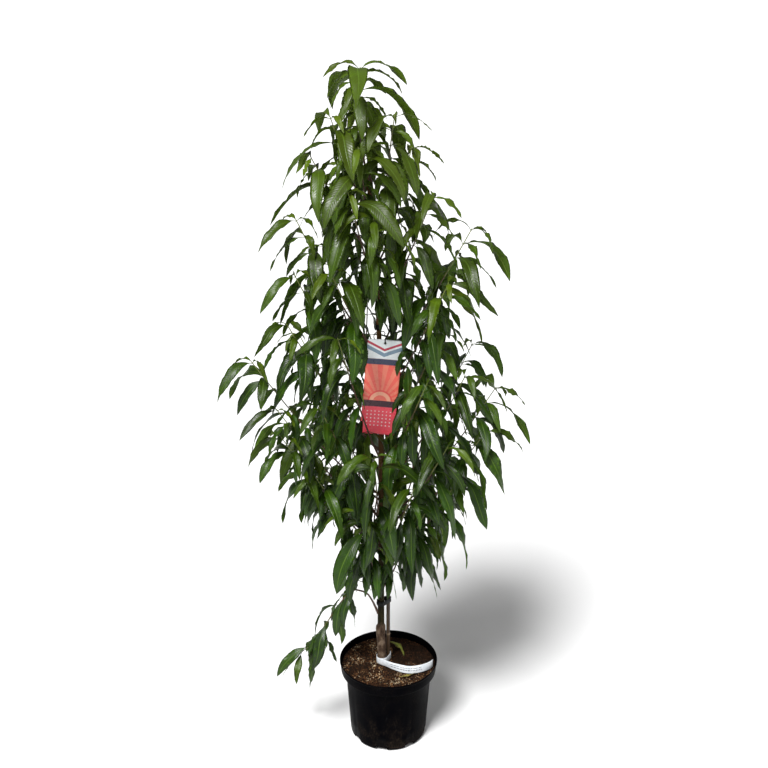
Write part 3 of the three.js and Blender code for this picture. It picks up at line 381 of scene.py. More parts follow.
def twig_look():
    look = Look("twig")
    along = look.value("along")
    green = look.mix(look.noise(30, 3), srgb(84, 100, 40), srgb(120, 128, 56))
    brown = look.mix(look.noise(55, 4), srgb(58, 40, 28), srgb(96, 62, 44))
    where = look.plus(along, look.times(look.minus(look.noise(14, 2), 0.5), 0.6))
    colour = look.mix(look.ramp(where, (0.55, 0.0), (0.9, 1.0)), brown, green)
    spots = look.ramp(look.cells(420, (1, 1, 0.45)), (0.12, 1.0), (0.22, 0.0))
    colour = look.tint(colour, spots, 0.4, srgb(150, 132, 108))
    look.bump((spots, 0.15 * MM, 0.5), (look.noise(500, 4), 0.12 * MM, 0.6))
    return look.finish(colour, look.ramp(look.noise(80), (0.3, 0.42), (0.7, 0.62)))


def bark_look():
    look = Look("bark")
    height = look.height()
    fissures = look.noise(95, 7, (1, 1, 0.5), 0.7, 0.3)
    plates = look.cells(210, (1, 1, 0.5), "DISTANCE_TO_EDGE")
    grain = look.noise(520, 5, (1, 1, 0.4))
    patches = look.noise(16, 4)
    old = look.ramp(fissures, (0.3, srgb(24, 14, 6)), (0.5, srgb(80, 63, 50)), (0.68, srgb(130, 112, 94)))
    smooth = look.ramp(fissures, (0.3, srgb(16, 15, 3)), (0.55, srgb(36, 30, 10)), (0.75, srgb(58, 49, 24)))
    lenticels = look.ramp(look.cells(130, (1, 1, 2.6)), (0.1, 1.0), (0.17, 0.0))
    smooth = look.tint(smooth, lenticels, 0.45, srgb(112, 90, 62))
    algae = look.ramp(patches, (0.5, 0.0), (0.7, 0.5))
    smooth = look.mix(algae, smooth, srgb(40, 44, 16))
    # Painted light: from 0.5 m up the bark is mixed towards a lit warm brown, lifting the trunk out of the
    # crown's shade.
    smooth = look.mix(look.ramp(height, (0.5, 0.0), (0.95, 0.65)), smooth, srgb(118, 84, 50))
    ragged = look.plus(height, look.times(look.minus(patches, 0.5), 0.03))
    up = look.times(look.minus(ragged, UNION + 4 * MM), 60.0, clamp=True)
    colour = look.mix(up, old, smooth)
    dirt = look.ramp(height, (0.2, 1.0), (0.235, 0.0))
    colour = look.tint(colour, dirt, 0.6, srgb(52, 36, 24))
    cracks = look.ramp(plates, (0.0, 0.0), (0.12, 1.0))
    rough = look.minus(1.0, look.times(up, 0.75))
    look.bump(
        (fissures, 1.6 * MM, 0.7),
        (look.times(cracks, rough), 0.7 * MM, 0.8),
        (grain, 0.25 * MM, 0.7),
        (lenticels, 0.3 * MM, 0.4),
    )
    return look.finish(colour, look.ramp(grain, (0.3, 0.62), (0.7, 0.9)), shine=0.15)


def bamboo_look():
    look = Look("bamboo")
    fibres = look.noise(260, 5, (1, 1, 0.03), 0.6)
    stain = look.noise(22, 4, (1, 1, 0.35))
    colour = look.ramp(fibres, (0.3, srgb(47, 34, 22)), (0.55, srgb(85, 64, 43)), (0.75, srgb(118, 95, 68)))
    colour = look.mix(look.ramp(stain, (0.45, 0.0), (0.7, 0.8)), colour, srgb(46, 32, 24))
    specks = look.ramp(look.cells(300), (0.08, 1.0), (0.14, 0.0))
    colour = look.tint(colour, specks, 0.5, srgb(30, 22, 18))
    ring = look.value("knot")
    colour = look.tint(colour, ring, 0.7, srgb(150, 128, 100))
    look.bump((fibres, 0.35 * MM, 0.7), (specks, -0.2 * MM, 0.4))
    return look.finish(colour, look.ramp(stain, (0.3, 0.42), (0.7, 0.6)))


def pot_look():
    look = Look("pot_plastic")
    height = look.height()
    drift = look.noise(9, 5)
    grain = look.noise(900, 3)
    flow = look.noise(55, 3, (1, 1, 0.06))
    black = look.mix(drift, srgb(1, 1, 3), srgb(3, 3, 5))
    streaks = look.ramp(flow, (0.52, 0.0), (0.72, 0.2))
    colour = look.mix(streaks, black, srgb(10, 10, 12))
    specks = look.ramp(look.cells(420), (0.16, 1.0), (0.26, 0.0))
    low = look.ramp(height, (0.0, 1.0), (0.12, 0.12))
    splashed = look.times(low, look.ramp(look.noise(28, 4), (0.42, 0.0), (0.62, 1.0)))
    colour = look.mix(look.times(look.times(specks, splashed), 0.9), colour, srgb(112, 96, 78))
    colour = look.tint(colour, splashed, 0.05, srgb(84, 72, 60))
    scuffs = look.ramp(look.noise(120, 6, (1, 1, 0.2), 0.7), (0.64, 0.0), (0.7, 1.0))
    colour = look.tint(colour, scuffs, 0.2, srgb(52, 52, 54))
    look.bump((grain, 0.06 * MM, 0.6), (flow, 0.35 * MM, 0.35), (specks, 0.2 * MM, 0.3))
    gloss = look.ramp(look.plus(drift, look.times(splashed, 0.4)), (0.3, 0.3), (0.9, 0.62))
    return look.finish(colour, gloss, shine=0.01)


def soil_look():
    look = Look("potting_soil")
    lumps = look.noise(90, 6, roughness=0.7)
    crumbs = look.cells(420)
    damp = look.noise(7, 3)
    colour = look.ramp(lumps, (0.3, srgb(8, 4, 1)), (0.5, srgb(30, 18, 10)), (0.7, srgb(66, 44, 28)))
    colour = look.mix(look.ramp(damp, (0.42, 0.0), (0.62, 0.75)), colour, srgb(8, 6, 4))
    pale = look.ramp(look.cells(300), (0.07, 1.0), (0.12, 0.0))
    colour = look.tint(colour, pale, 0.7, srgb(168, 146, 116))
    look.bump((lumps, 4 * MM, 0.9), (crumbs, 1.4 * MM, 0.8))
    return look.finish(colour, look.ramp(damp, (0.4, 0.95), (0.65, 0.7)), shine=0.1)


def chip_look():
    look = Look("bark_chips")
    tone = look.value("tone")
    fibres = look.noise(500, 4, (1, 0.4, 1))
    colour = look.ramp(
        tone,
        (0.0, srgb(12, 7, 3)),
        (0.35, srgb(44, 26, 13)),
        (0.62, srgb(86, 54, 31)),
        (0.82, srgb(146, 110, 72)),
        (1.0, srgb(208, 190, 158)),
    )
    colour = look.mix(1.0, colour, look.ramp(fibres, (0.3, 0.6), (0.7, 1.2)), "MULTIPLY")
    look.bump((fibres, 0.5 * MM, 0.8))
    return look.finish(colour, look.ramp(fibres, (0.3, 0.75), (0.7, 0.95)), shine=0.15)


def tie_look():
    look = Look("tie_plastic")
    grain = look.noise(700, 3)
    dust = look.ramp(look.noise(120, 5), (0.5, 0.0), (0.75, 0.5))
    colour = look.mix(dust, srgb(6, 6, 7), srgb(46, 42, 36))
    look.bump((grain, 0.08 * MM, 0.7), (look.noise(160, 3), 0.3 * MM, 0.4))
    return look.finish(colour, look.ramp(grain, (0.3, 0.4), (0.7, 0.58)), shine=0.2)


def strap_look():
    look = Look("strap_plastic")
    haze = look.noise(60, 4)
    greys = srgb(206, 212, 218), srgb(234, 238, 242), srgb(244, 246, 248)
    colour = look.ramp(haze, *zip((0.3, 0.6, 0.8), greys))
    soiled = look.ramp(look.noise(150, 6), (0.58, 0.0), (0.75, 0.6))
    colour = look.mix(soiled, colour, srgb(150, 134, 112))
    # Short printed ticks in two rows, of uneven length, on the tail's front.
    along, up = look.value("along"), look.value("up")
    beat = look.math("FRACT", look.times(along, 230.0))
    ticks = look.math("LESS_THAN", beat, look.plus(look.noise(170, 1), 0.1))
    rows = look.ramp(up, *zip((0.3, 0.34, 0.44, 0.48, 0.56, 0.6, 0.68, 0.72), (0.0, 1.0, 1.0, 0.0) * 2))
    printed = look.ramp(along, (0.03, 0.0), (0.032, 1.0), (0.118, 1.0), (0.12, 0.0))
    ink = look.times(look.times(ticks, rows), printed)
    colour = look.tint(colour, ink, 0.85, srgb(62, 68, 78))
    look.bump((haze, 0.4 * MM, 0.4), (look.noise(900, 2), 0.05 * MM, 0.5))
    return look.finish(colour, look.ramp(haze, (0.3, 0.35), (0.7, 0.5)))


def card_look():
    """A plain printed card: blocks of colour, a fan of rays and rows of dots, with no words."""
    look = Look("label_card")
    u, v = look.value("card_u"), look.value("card_v")

    def step(value, edge, soft=0.004):
        return look.times(look.minus(value, edge - soft / 2), 1 / soft, clamp=True)

    def band(value, low, high):
        return look.times(step(value, low), look.minus(1.0, step(value, high)))

    tall = look.times(v, LABEL_SIZE[1] / LABEL_SIZE[0])  # in widths, so that round things are round
    colour = look.mix(step(v, 0.33), srgb(244, 74, 92), srgb(248, 100, 84))
    fan_low, fan_high, fan_centre = 0.36, 0.74, 1.02
    dx, dy = look.minus(u, 0.5), look.minus(tall, fan_centre)
    far = look.math("SQRT", look.plus(look.times(dx, dx), look.times(dy, dy)))
    turn = look.math("ARCTAN2", dy, dx)
    rays = look.math("GREATER_THAN", look.math("SINE", look.times(turn, 22.0)), 0.0)
    fan = look.times(band(v, fan_low, fan_high), look.times(rays, 0.5))
    colour = look.mix(fan, colour, srgb(252, 158, 128))
    for radius, tint in ((0.36, srgb(242, 78, 74)), (0.31, srgb(254, 178, 146)), (0.2, srgb(246, 112, 94))):
        disc = look.times(look.math("LESS_THAN", far, radius), band(v, fan_low, fan_high))
        colour = look.mix(disc, colour, tint)
    wedge = look.minus(v, look.times(look.math("ABSOLUTE", dx), 0.16))
    for way, low, high, tint in (
        (v, 0.295, 0.36, srgb(58, 16, 34)),
        (v, 0.74, 0.8, srgb(42, 54, 84)),
        (v, 0.8, 2, srgb(240, 246, 248)),
        (wedge, 0.82, 0.86, srgb(124, 150, 170)),
        (wedge, 0.88, 0.905, srgb(190, 44, 70)),
    ):
        colour = look.mix(band(way, low, high), colour, tint)
    ring_u, ring_v = (look.minus(look.math("FRACT", look.times(way, 9.0)), 0.5) for way in (u, tall))
    spot = look.plus(look.times(ring_u, ring_u), look.times(ring_v, ring_v))
    dots = look.times(look.math("LESS_THAN", spot, 0.035), band(v, 0.07, 0.25))
    dots = look.times(dots, band(u, 0.1, 0.9))
    colour = look.tint(colour, dots, 0.9, srgb(252, 226, 226))
    fade = look.ramp(look.noise(14, 3), (0.35, 0.94), (0.65, 1.06))
    colour = look.mix(1.0, colour, fade, "MULTIPLY")
    dust = look.ramp(look.noise(220, 5), (0.62, 0.0), (0.8, 0.4))
    colour = look.mix(dust, colour, srgb(170, 160, 150))
    look.bump((look.noise(40, 2), 0.6 * MM, 0.3), (look.noise(900, 2), 0.04 * MM, 0.5))
    return look.finish(colour, look.ramp(look.noise(60), (0.3, 0.22), (0.7, 0.38)))


def dry_leaf_look(name, dark, light):
    look = Look(name)
    mottle = look.noise(120, 5)
    along, across = look.value("along"), look.value("across")
    midrib = look.ramp(across, (0.05, 1.0), (0.12, 0.0))
    colour = look.ramp(mottle, (0.32, dark), (0.68, light))
    brown = look.ramp(look.plus(across, look.times(mottle, 0.6)), (0.95, 0.0), (1.2, 0.7))
    colour = look.mix(brown, colour, srgb(96, 70, 34))
    colour = look.tint(colour, midrib, 0.5, srgb(196, 180, 104))
    slanted = look.minus(along, look.times(across, 0.1))
    ribs = look.math("SINE", look.times(slanted, 120.0))
    look.bump((ribs, 0.3 * MM, 0.4), (mottle, 0.5 * MM, 0.6))
    return look.finish(colour, look.ramp(mottle, (0.3, 0.5), (0.7, 0.7)))


# Leafy shoots

BUD_RADIUS = 0.6 * MM
THINNEST = 0.4 * MM  # radius of a twig
TWIG_SIDES = 8
SHOOT_SUNK = 5 * MM  # how far a shoot's foot runs on into its stem
COLLAR, COLLAR_SUNK = 1.35, 1.25  # how its foot widens, in two steps
TWIG_SIZE = 0.92  # of the solid stem's radius
YOUNG_FROM = 0.62  # of the shoot, where its leaves begin to be young
LIGHT_SHARE = 0.1  # of the leaves are light wherever they stand


class Leaf:
    """A leaf read back from the solids: its root, its ring's centre and directions, and its tip."""

    def __init__(self, root, left, top, right, under, tip):
        self.root, self.tip = root, tip
        self.centre = (top + under) / 2
        up = unit(top - under)
        if ((left + right) / 2 - self.centre) @ up < 0:
            up = -up
        side = left - right
        side = unit(side - (side @ up) * up)
        if np.cross(side, up) @ (tip - root) < 0:
            side, left, right = -side, right, left
        across = (left - right) @ side / 2
        lift = ((left + right) / 2 - self.centre) @ up
        self.side, self.up = side, up
        self.half = math.hypot(across, lift)
        self.fold = math.atan2(lift, across)
        self.wave = (left - right) @ up / 2


def outline(share):
    blade = np.clip((share - PETIOLE_SHARE) / (1 - PETIOLE_SHARE), 0, 1)
    return blade**BASE_POWER * (1 - blade) ** TIP_POWER / OUTLINE_PEAK


def hermite(start, way_out, end, way_in, t):
    t = t[:, None]
    return (
        (2 * t**3 - 3 * t**2 + 1) * start
        + (t**3 - 2 * t**2 + t) * way_out
        + (3 * t**2 - 2 * t**3) * end
        + (t**3 - t**2) * way_in
    )


def reflected(way, chord):
    """The direction at a bend's other end."""
    chord = unit(chord)
    return unit(2 * (way @ chord) * chord - way)


def leaf_midrib(leaf, shares):
    """Places along a smooth midrib through the leaf's root, ring and tip."""
    forward = np.cross(leaf.side, leaf.up)
    first, second = leaf.centre - leaf.root, leaf.tip - leaf.centre
    near, far = np.linalg.norm(first), np.linalg.norm(second)
    inner = shares <= RING_SHARE
    places = np.empty((len(shares), 3))
    places[inner] = hermite(
        leaf.root, reflected(forward, first) * near, leaf.centre, forward * near, shares[inner] / RING_SHARE
    )
    places[~inner] = hermite(
        leaf.centre,
        forward * far,
        leaf.tip,
        reflected(forward, second) * far,
        (shares[~inner] - RING_SHARE) / (1 - RING_SHARE),
    )
    return places


def leaf_frames(leaf, shares, places, twist):
    """Sideways directions, carried along the midrib from the ring both ways."""
    tangents = tangents_of(places)
    start = int(np.argmin(np.abs(shares - RING_SHARE)))
    sides = np.empty_like(places)
    for order in (range(start, len(shares)), range(start, -1, -1)):
        side = leaf.side
        for i in order:
            side = unit(side - (side @ tangents[i]) * tangents[i])
            sides[i] = side
    turn = twist * np.clip(shares - RING_SHARE, 0, 1) / (1 - RING_SHARE)
    ups = np.cross(tangents, sides)
    cos, sin = np.cos(turn)[:, None], np.sin(turn)[:, None]
    return sides * cos + ups * sin, ups * cos - sides * sin


def leaf_mesh(leaf, draw, mesh):
    """Adds a fine leaf to mesh: a thin closed blade with a fold, waves, teeth and a raised midrib."""
    shares = np.array(ALONG)
    places = leaf_midrib(leaf, shares)
    length = np.linalg.norm(np.diff(places, axis=0), axis=1).sum()
    sides, ups = leaf_frames(leaf, shares, places, draw.uniform(-TWIST, TWIST))
    beyond = np.clip((shares - RING_SHARE) / (1 - RING_SHARE), 0, 1)
    hook = draw.uniform(*HOOK) * length * beyond**3
    sway = draw.uniform(-SWAY, SWAY) * length * np.sin(math.pi * beyond)
    places = places - ups * hook[:, None] + sides * sway[:, None]
    widest = leaf.half * draw.uniform(*WIDTH) / outline(np.array([RING_SHARE]))[0]
    half = widest * outline(shares) * (1 - TAIL * beyond * (1 - beyond))
    half = np.maximum(PETIOLE_HALF * (1 - shares**3), half)
    flat = np.clip((shares - FLAT_FROM) / FLAT_RUN, 0, 1)
    fold = leaf.fold * (0.35 + 0.65 * flat) * (1 - 0.35 * shares)
    swing = max(abs(leaf.wave), draw.uniform(*WAVE))
    phase = math.asin(leaf.wave / swing) - 2 * math.pi * WAVES * RING_SHARE
    ripple, ripple_phase = draw.uniform(*RIPPLE), draw.uniform(0, 6)
    droop = draw.uniform(*DROOP)
    room = np.minimum(1, half / widest) * flat

    def margin(share, room_here, sign):
        wave = sign * swing * np.sin(2 * math.pi * WAVES * share + phase)
        return room_here * (wave + ripple * np.sin(2 * math.pi * RIPPLES * share + ripple_phase + sign))

    def at(i, a, rise):
        """A point of station i, a of the half width across, lifted off the midrib by rise."""
        size = abs(a)
        lift = half[i] * math.sin(fold[i]) * size**1.2 - droop * half[i] * size * size
        lift += margin(shares[i], room[i], math.copysign(1, a)) * size * size
        return places[i] + sides[i] * (a * half[i] * math.cos(fold[i])) + ups[i] * (lift + rise)

    points, faces, looks = mesh["points"], mesh["faces"], mesh["looks"]
    first, count = len(points), len(shares)
    thick = BLADE_HALF + (PETIOLE_THICK - BLADE_HALF) * (1 - flat)
    groove, rib = GROOVE * flat, RIB * (1 - shares) * flat
    for i in range(count):
        for k, a in enumerate(AROUND):
            rise = thick[i] * (1 - a * a)
            if k < RIGHT:
                points.append(at(i, a, rise - (groove[i] if a == 0 else 0)))
            else:
                points.append(at(i, a, -rise - (rib[i] if a == 0 else 0)))
    teeth = {}
    for i in range(TEETH_FROM, count - 1):
        size = TOOTH * min(1, half[i] / widest * 1.5)
        for column in (LEFT, RIGHT):
            low, high = points[first + i * STRIDE + column], points[first + (i + 1) * STRIDE + column]
            teeth[i, column] = tuple(range(len(points), len(points) + len(TEETH)))
            for share, peak in TEETH:
                off = AROUND[column] * size * (peak - TOOTH_MIDDLE)
                points.append(low + (high - low) * share + sides[i] * off)
    tip = len(points)
    points.append(leaf.tip - ups[-1] * (hook[-1] * TIP_HOOK))
    for i in range(count):
        here, there = first + i * STRIDE, first + (i + 1) * STRIDE
        for k in range(STRIDE):
            after = (k + 1) % STRIDE
            if i == count - 1:
                faces.append((here + k, here + after, tip))
            else:
                back, out = teeth.get((i, k), ())[::-1], teeth.get((i, after), ())
                faces.append((here + k, here + after, *out, there + after, there + k, *back))
            looks.append(int(k >= RIGHT))
    faces.append(tuple(range(first + STRIDE - 1, first - 1, -1)))
    looks.append(1)
    toothed = np.repeat(shares[TEETH_FROM:-1], 2 * len(TEETH)) + HALF_SPAN
    along = np.concatenate([np.repeat(shares, STRIDE), toothed, [1]])
    mesh["along"] += along.tolist()
    mesh["across"] += [abs(a) for a in AROUND] * count + [1] * (tip - first - count * STRIDE) + [0]
    return len(along)


def read_shoot(node):
    """The rings of a shoot's stem from its foot up, and its leaves."""
    points, triangles = cad_mesh(node)
    around = [set() for _ in points]
    count = Counter(triangles.ravel().tolist())
    for triangle in triangles.tolist():
        for corner in triangle:
            around[corner] |= set(triangle) - {corner}
    leaves = []
    leafy = set()
    for tip in range(len(points)):
        edges = [n for n in around[tip] if count[n] == 4]
        if count[tip] != 4 or len(around[tip]) != 4 or len(edges) != 2 or edges[1] in around[edges[0]]:
            continue
        left, right = edges
        top, under = around[tip] - set(edges)
        ring = {left, right, top, under}
        foot = set().union(*(around[n] for n in ring)) - ring - {tip}
        if len(foot) != 4:
            continue
        root = points[sorted(foot)].mean(0)
        leaves.append(Leaf(root, *(points[n] for n in (left, top, right, under)), points[tip]))
        leafy |= ring | {tip}
    bud = next(v for v in range(len(points)) if count[v] == 3 and v not in leafy)
    rings = [(points[bud], BUD_RADIUS)]
    seen = leafy | {bud}
    ring = around[bud] - leafy
    while len(ring) == 3:
        corners = points[sorted(ring)]
        centre = corners.mean(0)
        rings.append((centre, float(np.linalg.norm(corners - centre, axis=1).mean())))
        seen |= ring
        ring = set().union(*(around[n] for n in ring)) - seen
    return rings[::-1], leaves


def shoot_piece(node, looks_of, seed):
    """The fine shoot: a round twig and its leaves in one piece."""
    draw = random.Random(seed)
    rings, leaves = read_shoot(node)
    centres = np.array([centre for centre, _ in rings])
    radii = np.array([radius for _, radius in rings])
    # The foot widens to a collar and runs on into the stem that bears the shoot.
    radii[0] = radii[1] * COLLAR
    inward = unit(centres[0] - centres[1]) * SHOOT_SUNK
    centres = np.vstack([centres[0] + inward, centres])
    radii = np.concatenate([[radii[0] * COLLAR_SUNK], radii])
    line = catmull(np.column_stack([centres, radii]), 3)
    round_points, round_faces = tube(line[:, :3], np.maximum(THINNEST, line[:, 3] * TWIG_SIZE), TWIG_SIDES)
    count = len(round_points)
    mesh = {"points": list(round_points), "faces": round_faces, "looks": [2] * len(round_faces)}
    mesh["along"] = np.repeat(np.linspace(0, 1, len(line)), TWIG_SIDES).tolist()
    mesh["across"] = [0.0] * count
    tones, youths = [0.5] * count, [0.0] * count
    for leaf in leaves:
        near = int(np.argmin(np.linalg.norm(centres - leaf.root, axis=1))) / (len(centres) - 1)
        added = leaf_mesh(leaf, draw, mesh)
        small = min(1.0, max(0.25, 1.6 - leaf.half / (10 * MM)))
        young = max(0.0, (near - YOUNG_FROM) / (1 - YOUNG_FROM)) ** 1.5 * draw.uniform(0.3, 1.0) * small
        if draw.random() < LIGHT_SHARE:
            young = max(young, draw.uniform(0.15, 0.5))
        tones += [draw.random()] * added
        youths += [young] * added
    piece = add_piece("fine_" + node, **mesh, materials=looks_of, tone=tones, youth=youths)
    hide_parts(node)


# Trunk and cane

SOIL_LEVEL = 0.209
FINE_BARK_TO, FINE_STEP, PLAIN_STEP = 0.36, 2.8 * MM, 6 * MM
UNION_HALF, FLARE_HALF = 8 * MM, 20 * MM
# Shares of the trunk's radius
BARK_SIZE, UNION_SWELL, FOOT_FLARE = 0.965, 0.03, 0.1
OLD_RIDGES, SMOOTH_RIDGES, BARK_KNOTS = 0.06, 0.012, 0.02
TRUNK_SIDES, CANE_SIDES = 36, 22


def rod_line(node):
    """A rod's height, axis and radius, ring by ring, read from the solids."""
    points, _ = cad_mesh(node)
    levels = {}
    for point in points:
        levels.setdefault(round(point[2] * 1e5), []).append(point)
    line = []
    for level in sorted(levels):
        ring = np.array(levels[level])
        if len(ring) < 8:
            continue
        x, y, z = centre = (ring.min(0) + ring.max(0)) / 2
        line.append((z, x, y, np.linalg.norm((ring - centre)[:, :2], axis=1).max()))
    return np.array(line)


def rod_at(line, height):
    return [float(np.interp(height, line[:, 0], line[:, k])) for k in (1, 2, 3)]


def rod_mesh(line, heights, around, shape):
    """A rod's fine mesh. shape gives the radius at an angle and a height from the plain radius."""
    points = []
    for z in heights:
        x, y, radius = rod_at(line, z)
        points += [(*polar(shape(radius, angle, z), angle, x, y), z) for angle in circle(around)]
    return points, capped_tube_faces(len(heights), around)


def trunk_piece(line, material):
    """Rough and swollen up to the graft union, smooth with shallow knots above it."""

    def shape(radius, angle, z):
        place = Vector((math.cos(angle) * 1.2, math.sin(angle) * 1.2, z * 26))
        ridges = noise.fractal(place * 1.6, 1.0, 2.0, 4)
        knots = noise.noise(Vector((math.cos(angle), math.sin(angle), z * 9)) * 2.3)
        at_union = bell(z, UNION, UNION_HALF)
        old = 1.0 if z < UNION else at_union
        swell = UNION_SWELL * at_union * (1 + 0.8 * math.sin(angle * 2 + 0.7))
        flare = FOOT_FLARE * bell(z, SOIL_LEVEL + 3 * MM, FLARE_HALF) * (1 + 0.5 * math.cos(angle * 3))
        relief = (old * OLD_RIDGES + SMOOTH_RIDGES) * ridges + BARK_KNOTS * knots
        return radius * (BARK_SIZE + swell + flare + relief)

    low = np.arange(line[0, 0], FINE_BARK_TO, FINE_STEP)
    heights = np.concatenate([low, np.arange(FINE_BARK_TO + 2 * MM, line[-1, 0], PLAIN_STEP), [line[-1, 0]]])
    points, faces = rod_mesh(line, heights, TRUNK_SIDES, shape)
    piece = add_piece("fine_trunk", points, faces, [material])
    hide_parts("trunk")


def cane_piece(line, material):
    """A cane with a lip and a groove over it at each knot, where the solid is thicker."""
    plain = np.median(line[:, 3])
    knots = [row[0] for row in line if row[3] > plain + 0.4 * MM]
    lip, groove, knot_half = 0.8 * MM, 0.35 * MM, 1.6 * MM

    def shape(radius, angle, z):
        size = min(radius, plain) * 0.97
        for knot in knots:
            off = (z - knot) / knot_half
            size += lip * math.exp(-(off**2)) - groove * math.exp(-((off - 2.4) ** 2))
        return size + 0.12 * MM * math.sin(angle * 5 + z * 4)

    step = 12 * MM
    heights = [line[0, 0], *np.arange(line[0, 0] + step, line[-1, 0] - MM, step), line[-1, 0]]
    for knot in knots:
        heights += [knot + off * MM for off in (-4, -2.6, -1.6, -0.8, 0, 0.8, 1.6, 2.6, 3.6, 4.8, 6)]
    heights = sorted(set(round(float(z), 6) for z in heights if line[0, 0] <= z <= line[-1, 0]))
    points, faces = rod_mesh(line, heights, CANE_SIDES, shape)
    near = [max([bell(p[2], knot, 3 * MM) for knot in knots] or [0]) for p in points]
    piece = add_piece("fine_cane", points, faces, [material], knot=near)
    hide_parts("cane")


# Pot and soil

POT_SIDES = 168
DRAINS = 8
DRAIN_TURN = math.radians(-101)  # of the first
FLUTE = 1.1 * MM  # the wall's depth inwards over each drain, from its foot to FLUTE_TO
FLUTE_HALF, FLUTE_TO = 0.055, 0.185
WALL_POINTS = (7, 11)  # of the section, between which the wall is fluted
# A drain notch: half its width above and at the foot, its height, its corners, and its way through the wall
NOTCH_HALF, NOTCH_FOOT_HALF, NOTCH_TOP, NOTCH_CORNER = 15 * MM, 18 * MM, 13 * MM, 4 * MM
NOTCH_BELOW = 2 * MM
NOTCH_WAY = (73 * MM, 113 * MM)
# The pot's section from its underside round to its floor: radius and height in mm
POT_SECTION = (
    (60, 0.6), (64, 0), (90, 0), (94.2, 0.3), (97.6, 1.4), (100.2, 3.4), (101.9, 6.6), (102.9, 11.2),
    (105.4, 50), (108, 90), (111, 135), (114.7, 190.6), (115.2, 192.2), (117, 193), (125.6, 195.2),
    (127.2, 196), (127.6, 197.6), (128.4, 206), (129.9, 220), (130.1, 222.4), (130.9, 223.2), (131, 226.8),
    (130.4, 227.8), (129.4, 228), (128.8, 227.4), (127.8, 215), (125.9, 200.5), (124.9, 198.6),
    (113.4, 195.8), (112.9, 194.4), (108.6, 130), (104.4, 70), (100.8, 12), (98, 6.5), (91.8, 3.2), (60, 3.2),
)


def pot_piece(material):
    section = [(r * MM, z * MM) for r, z in POT_SECTION]
    points = []
    for angle in circle(POT_SIDES):
        flute = bell(math.remainder(angle - DRAIN_TURN, 2 * math.pi / DRAINS), 0, FLUTE_HALF)
        for i, (r, z) in enumerate(section):
            if WALL_POINTS[0] <= i <= WALL_POINTS[1]:
                r -= FLUTE * flute * max(0, 1 - z / FLUTE_TO) ** 0.5
            points.append((*polar(r, angle), z))
    count = len(section)
    faces = []
    for k in range(POT_SIDES):
        here, there = k * count, (k + 1) % POT_SIDES * count
        faces += [(here + i, there + i, there + i + 1, here + i + 1) for i in range(count - 1)]
    faces.append(tuple(k * count for k in range(POT_SIDES - 1, -1, -1)))
    faces.append(tuple(k * count + count - 1 for k in range(POT_SIDES)))
    piece = add_piece("fine_pot", points, faces, [material])
    for turn in circle(DRAINS):
        cut_drain(piece, DRAIN_TURN + turn)
    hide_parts("pot")


def cut_drain(piece, angle):
    """Cuts a notch with sloping sides and rounded upper corners through the foot of the wall."""
    inner, head = NOTCH_HALF - NOTCH_CORNER, NOTCH_TOP - NOTCH_CORNER
    arch = [(-NOTCH_FOOT_HALF, -NOTCH_BELOW), (NOTCH_FOOT_HALF, -NOTCH_BELOW)]
    corner = [polar(NOTCH_CORNER, turn, inner, head) for turn in (0, 0.5, 1.05, 1.57)]
    arch += corner + [(-across, z) for across, z in reversed(corner)]
    cos, sin = math.cos(angle), math.sin(angle)
    points = [(r * cos - across * sin, r * sin + across * cos, z) for r in NOTCH_WAY for across, z in arch]
    n = len(arch)
    faces = [(k, (k + 1) % n, n + (k + 1) % n, n + k) for k in range(n)]
    faces += [tuple(range(n - 1, -1, -1)), tuple(range(n, 2 * n))]
    cutter = put("cutter", new_mesh("cutter", points, faces))
    modifier = piece.modifiers.new("cut", "BOOLEAN")
    modifier.operation = "DIFFERENCE"
    modifier.solver = "EXACT"
    modifier.object = cutter
    bpy.context.view_layer.update()
    graph = bpy.context.evaluated_depsgraph_get()
    cut = bpy.data.meshes.new_from_object(piece.evaluated_get(graph))
    piece.modifiers.clear()
    piece.data = cut
    bpy.data.objects.remove(cutter)


SOIL_RADIUS = 0.1262
SOIL_WALL = ((0.0915, 0.0036), (0.0998, 0.013), (0.112, 0.194), (0.1242, 0.2), (SOIL_RADIUS, 0.2075))
SOIL_SIDES, SOIL_RINGS = 150, 44
SOIL_CEILING = 0.2235
MOUND, MOUND_WIDTH, LUMP = 5 * MM, 45 * MM, 2.2 * MM
CHIPS, CHIP_REACH, CHIP_WALL = 4200, 0.124, 0.1255
PAINTED_SHADE_FROM, PAINTED_SHADE_TONE = 10 * MM, 0.55  # painted shade: behind the trunk on the right the chips are darkened, as in the trunk's shade


def soil_height(x, y, trunk):
    mound = MOUND * bell(math.hypot(x - trunk[0], y - trunk[1]), 0, MOUND_WIDTH)
    lumps = noise.fractal(Vector((x, y, 0.3)) * 46, 0.9, 2.0, 4)
    return SOIL_LEVEL + mound + LUMP * lumps


def chip_size(draw):
    """The size and tone of a grain, a fibre or a chip of bark."""
    kind = draw.random()
    if kind < 0.3:
        size = [draw.uniform(0.9, 2.6) * MM for _ in range(3)]
        return size, draw.choice((draw.uniform(0.8, 1), draw.uniform(0.3, 0.9), draw.uniform(0.3, 0.7)))
    if kind < 0.5:
        size = [draw.uniform(7, 22) * MM, draw.uniform(0.4, 0.8) * MM, draw.uniform(0.4, 0.8) * MM]
        return size, draw.uniform(0.35, 0.95)
    size = [draw.uniform(2.5, 9) * MM, draw.uniform(1.2, 4) * MM, draw.uniform(0.8, 2.2) * MM]
    return size, draw.triangular(0, 0.85, 0.3)


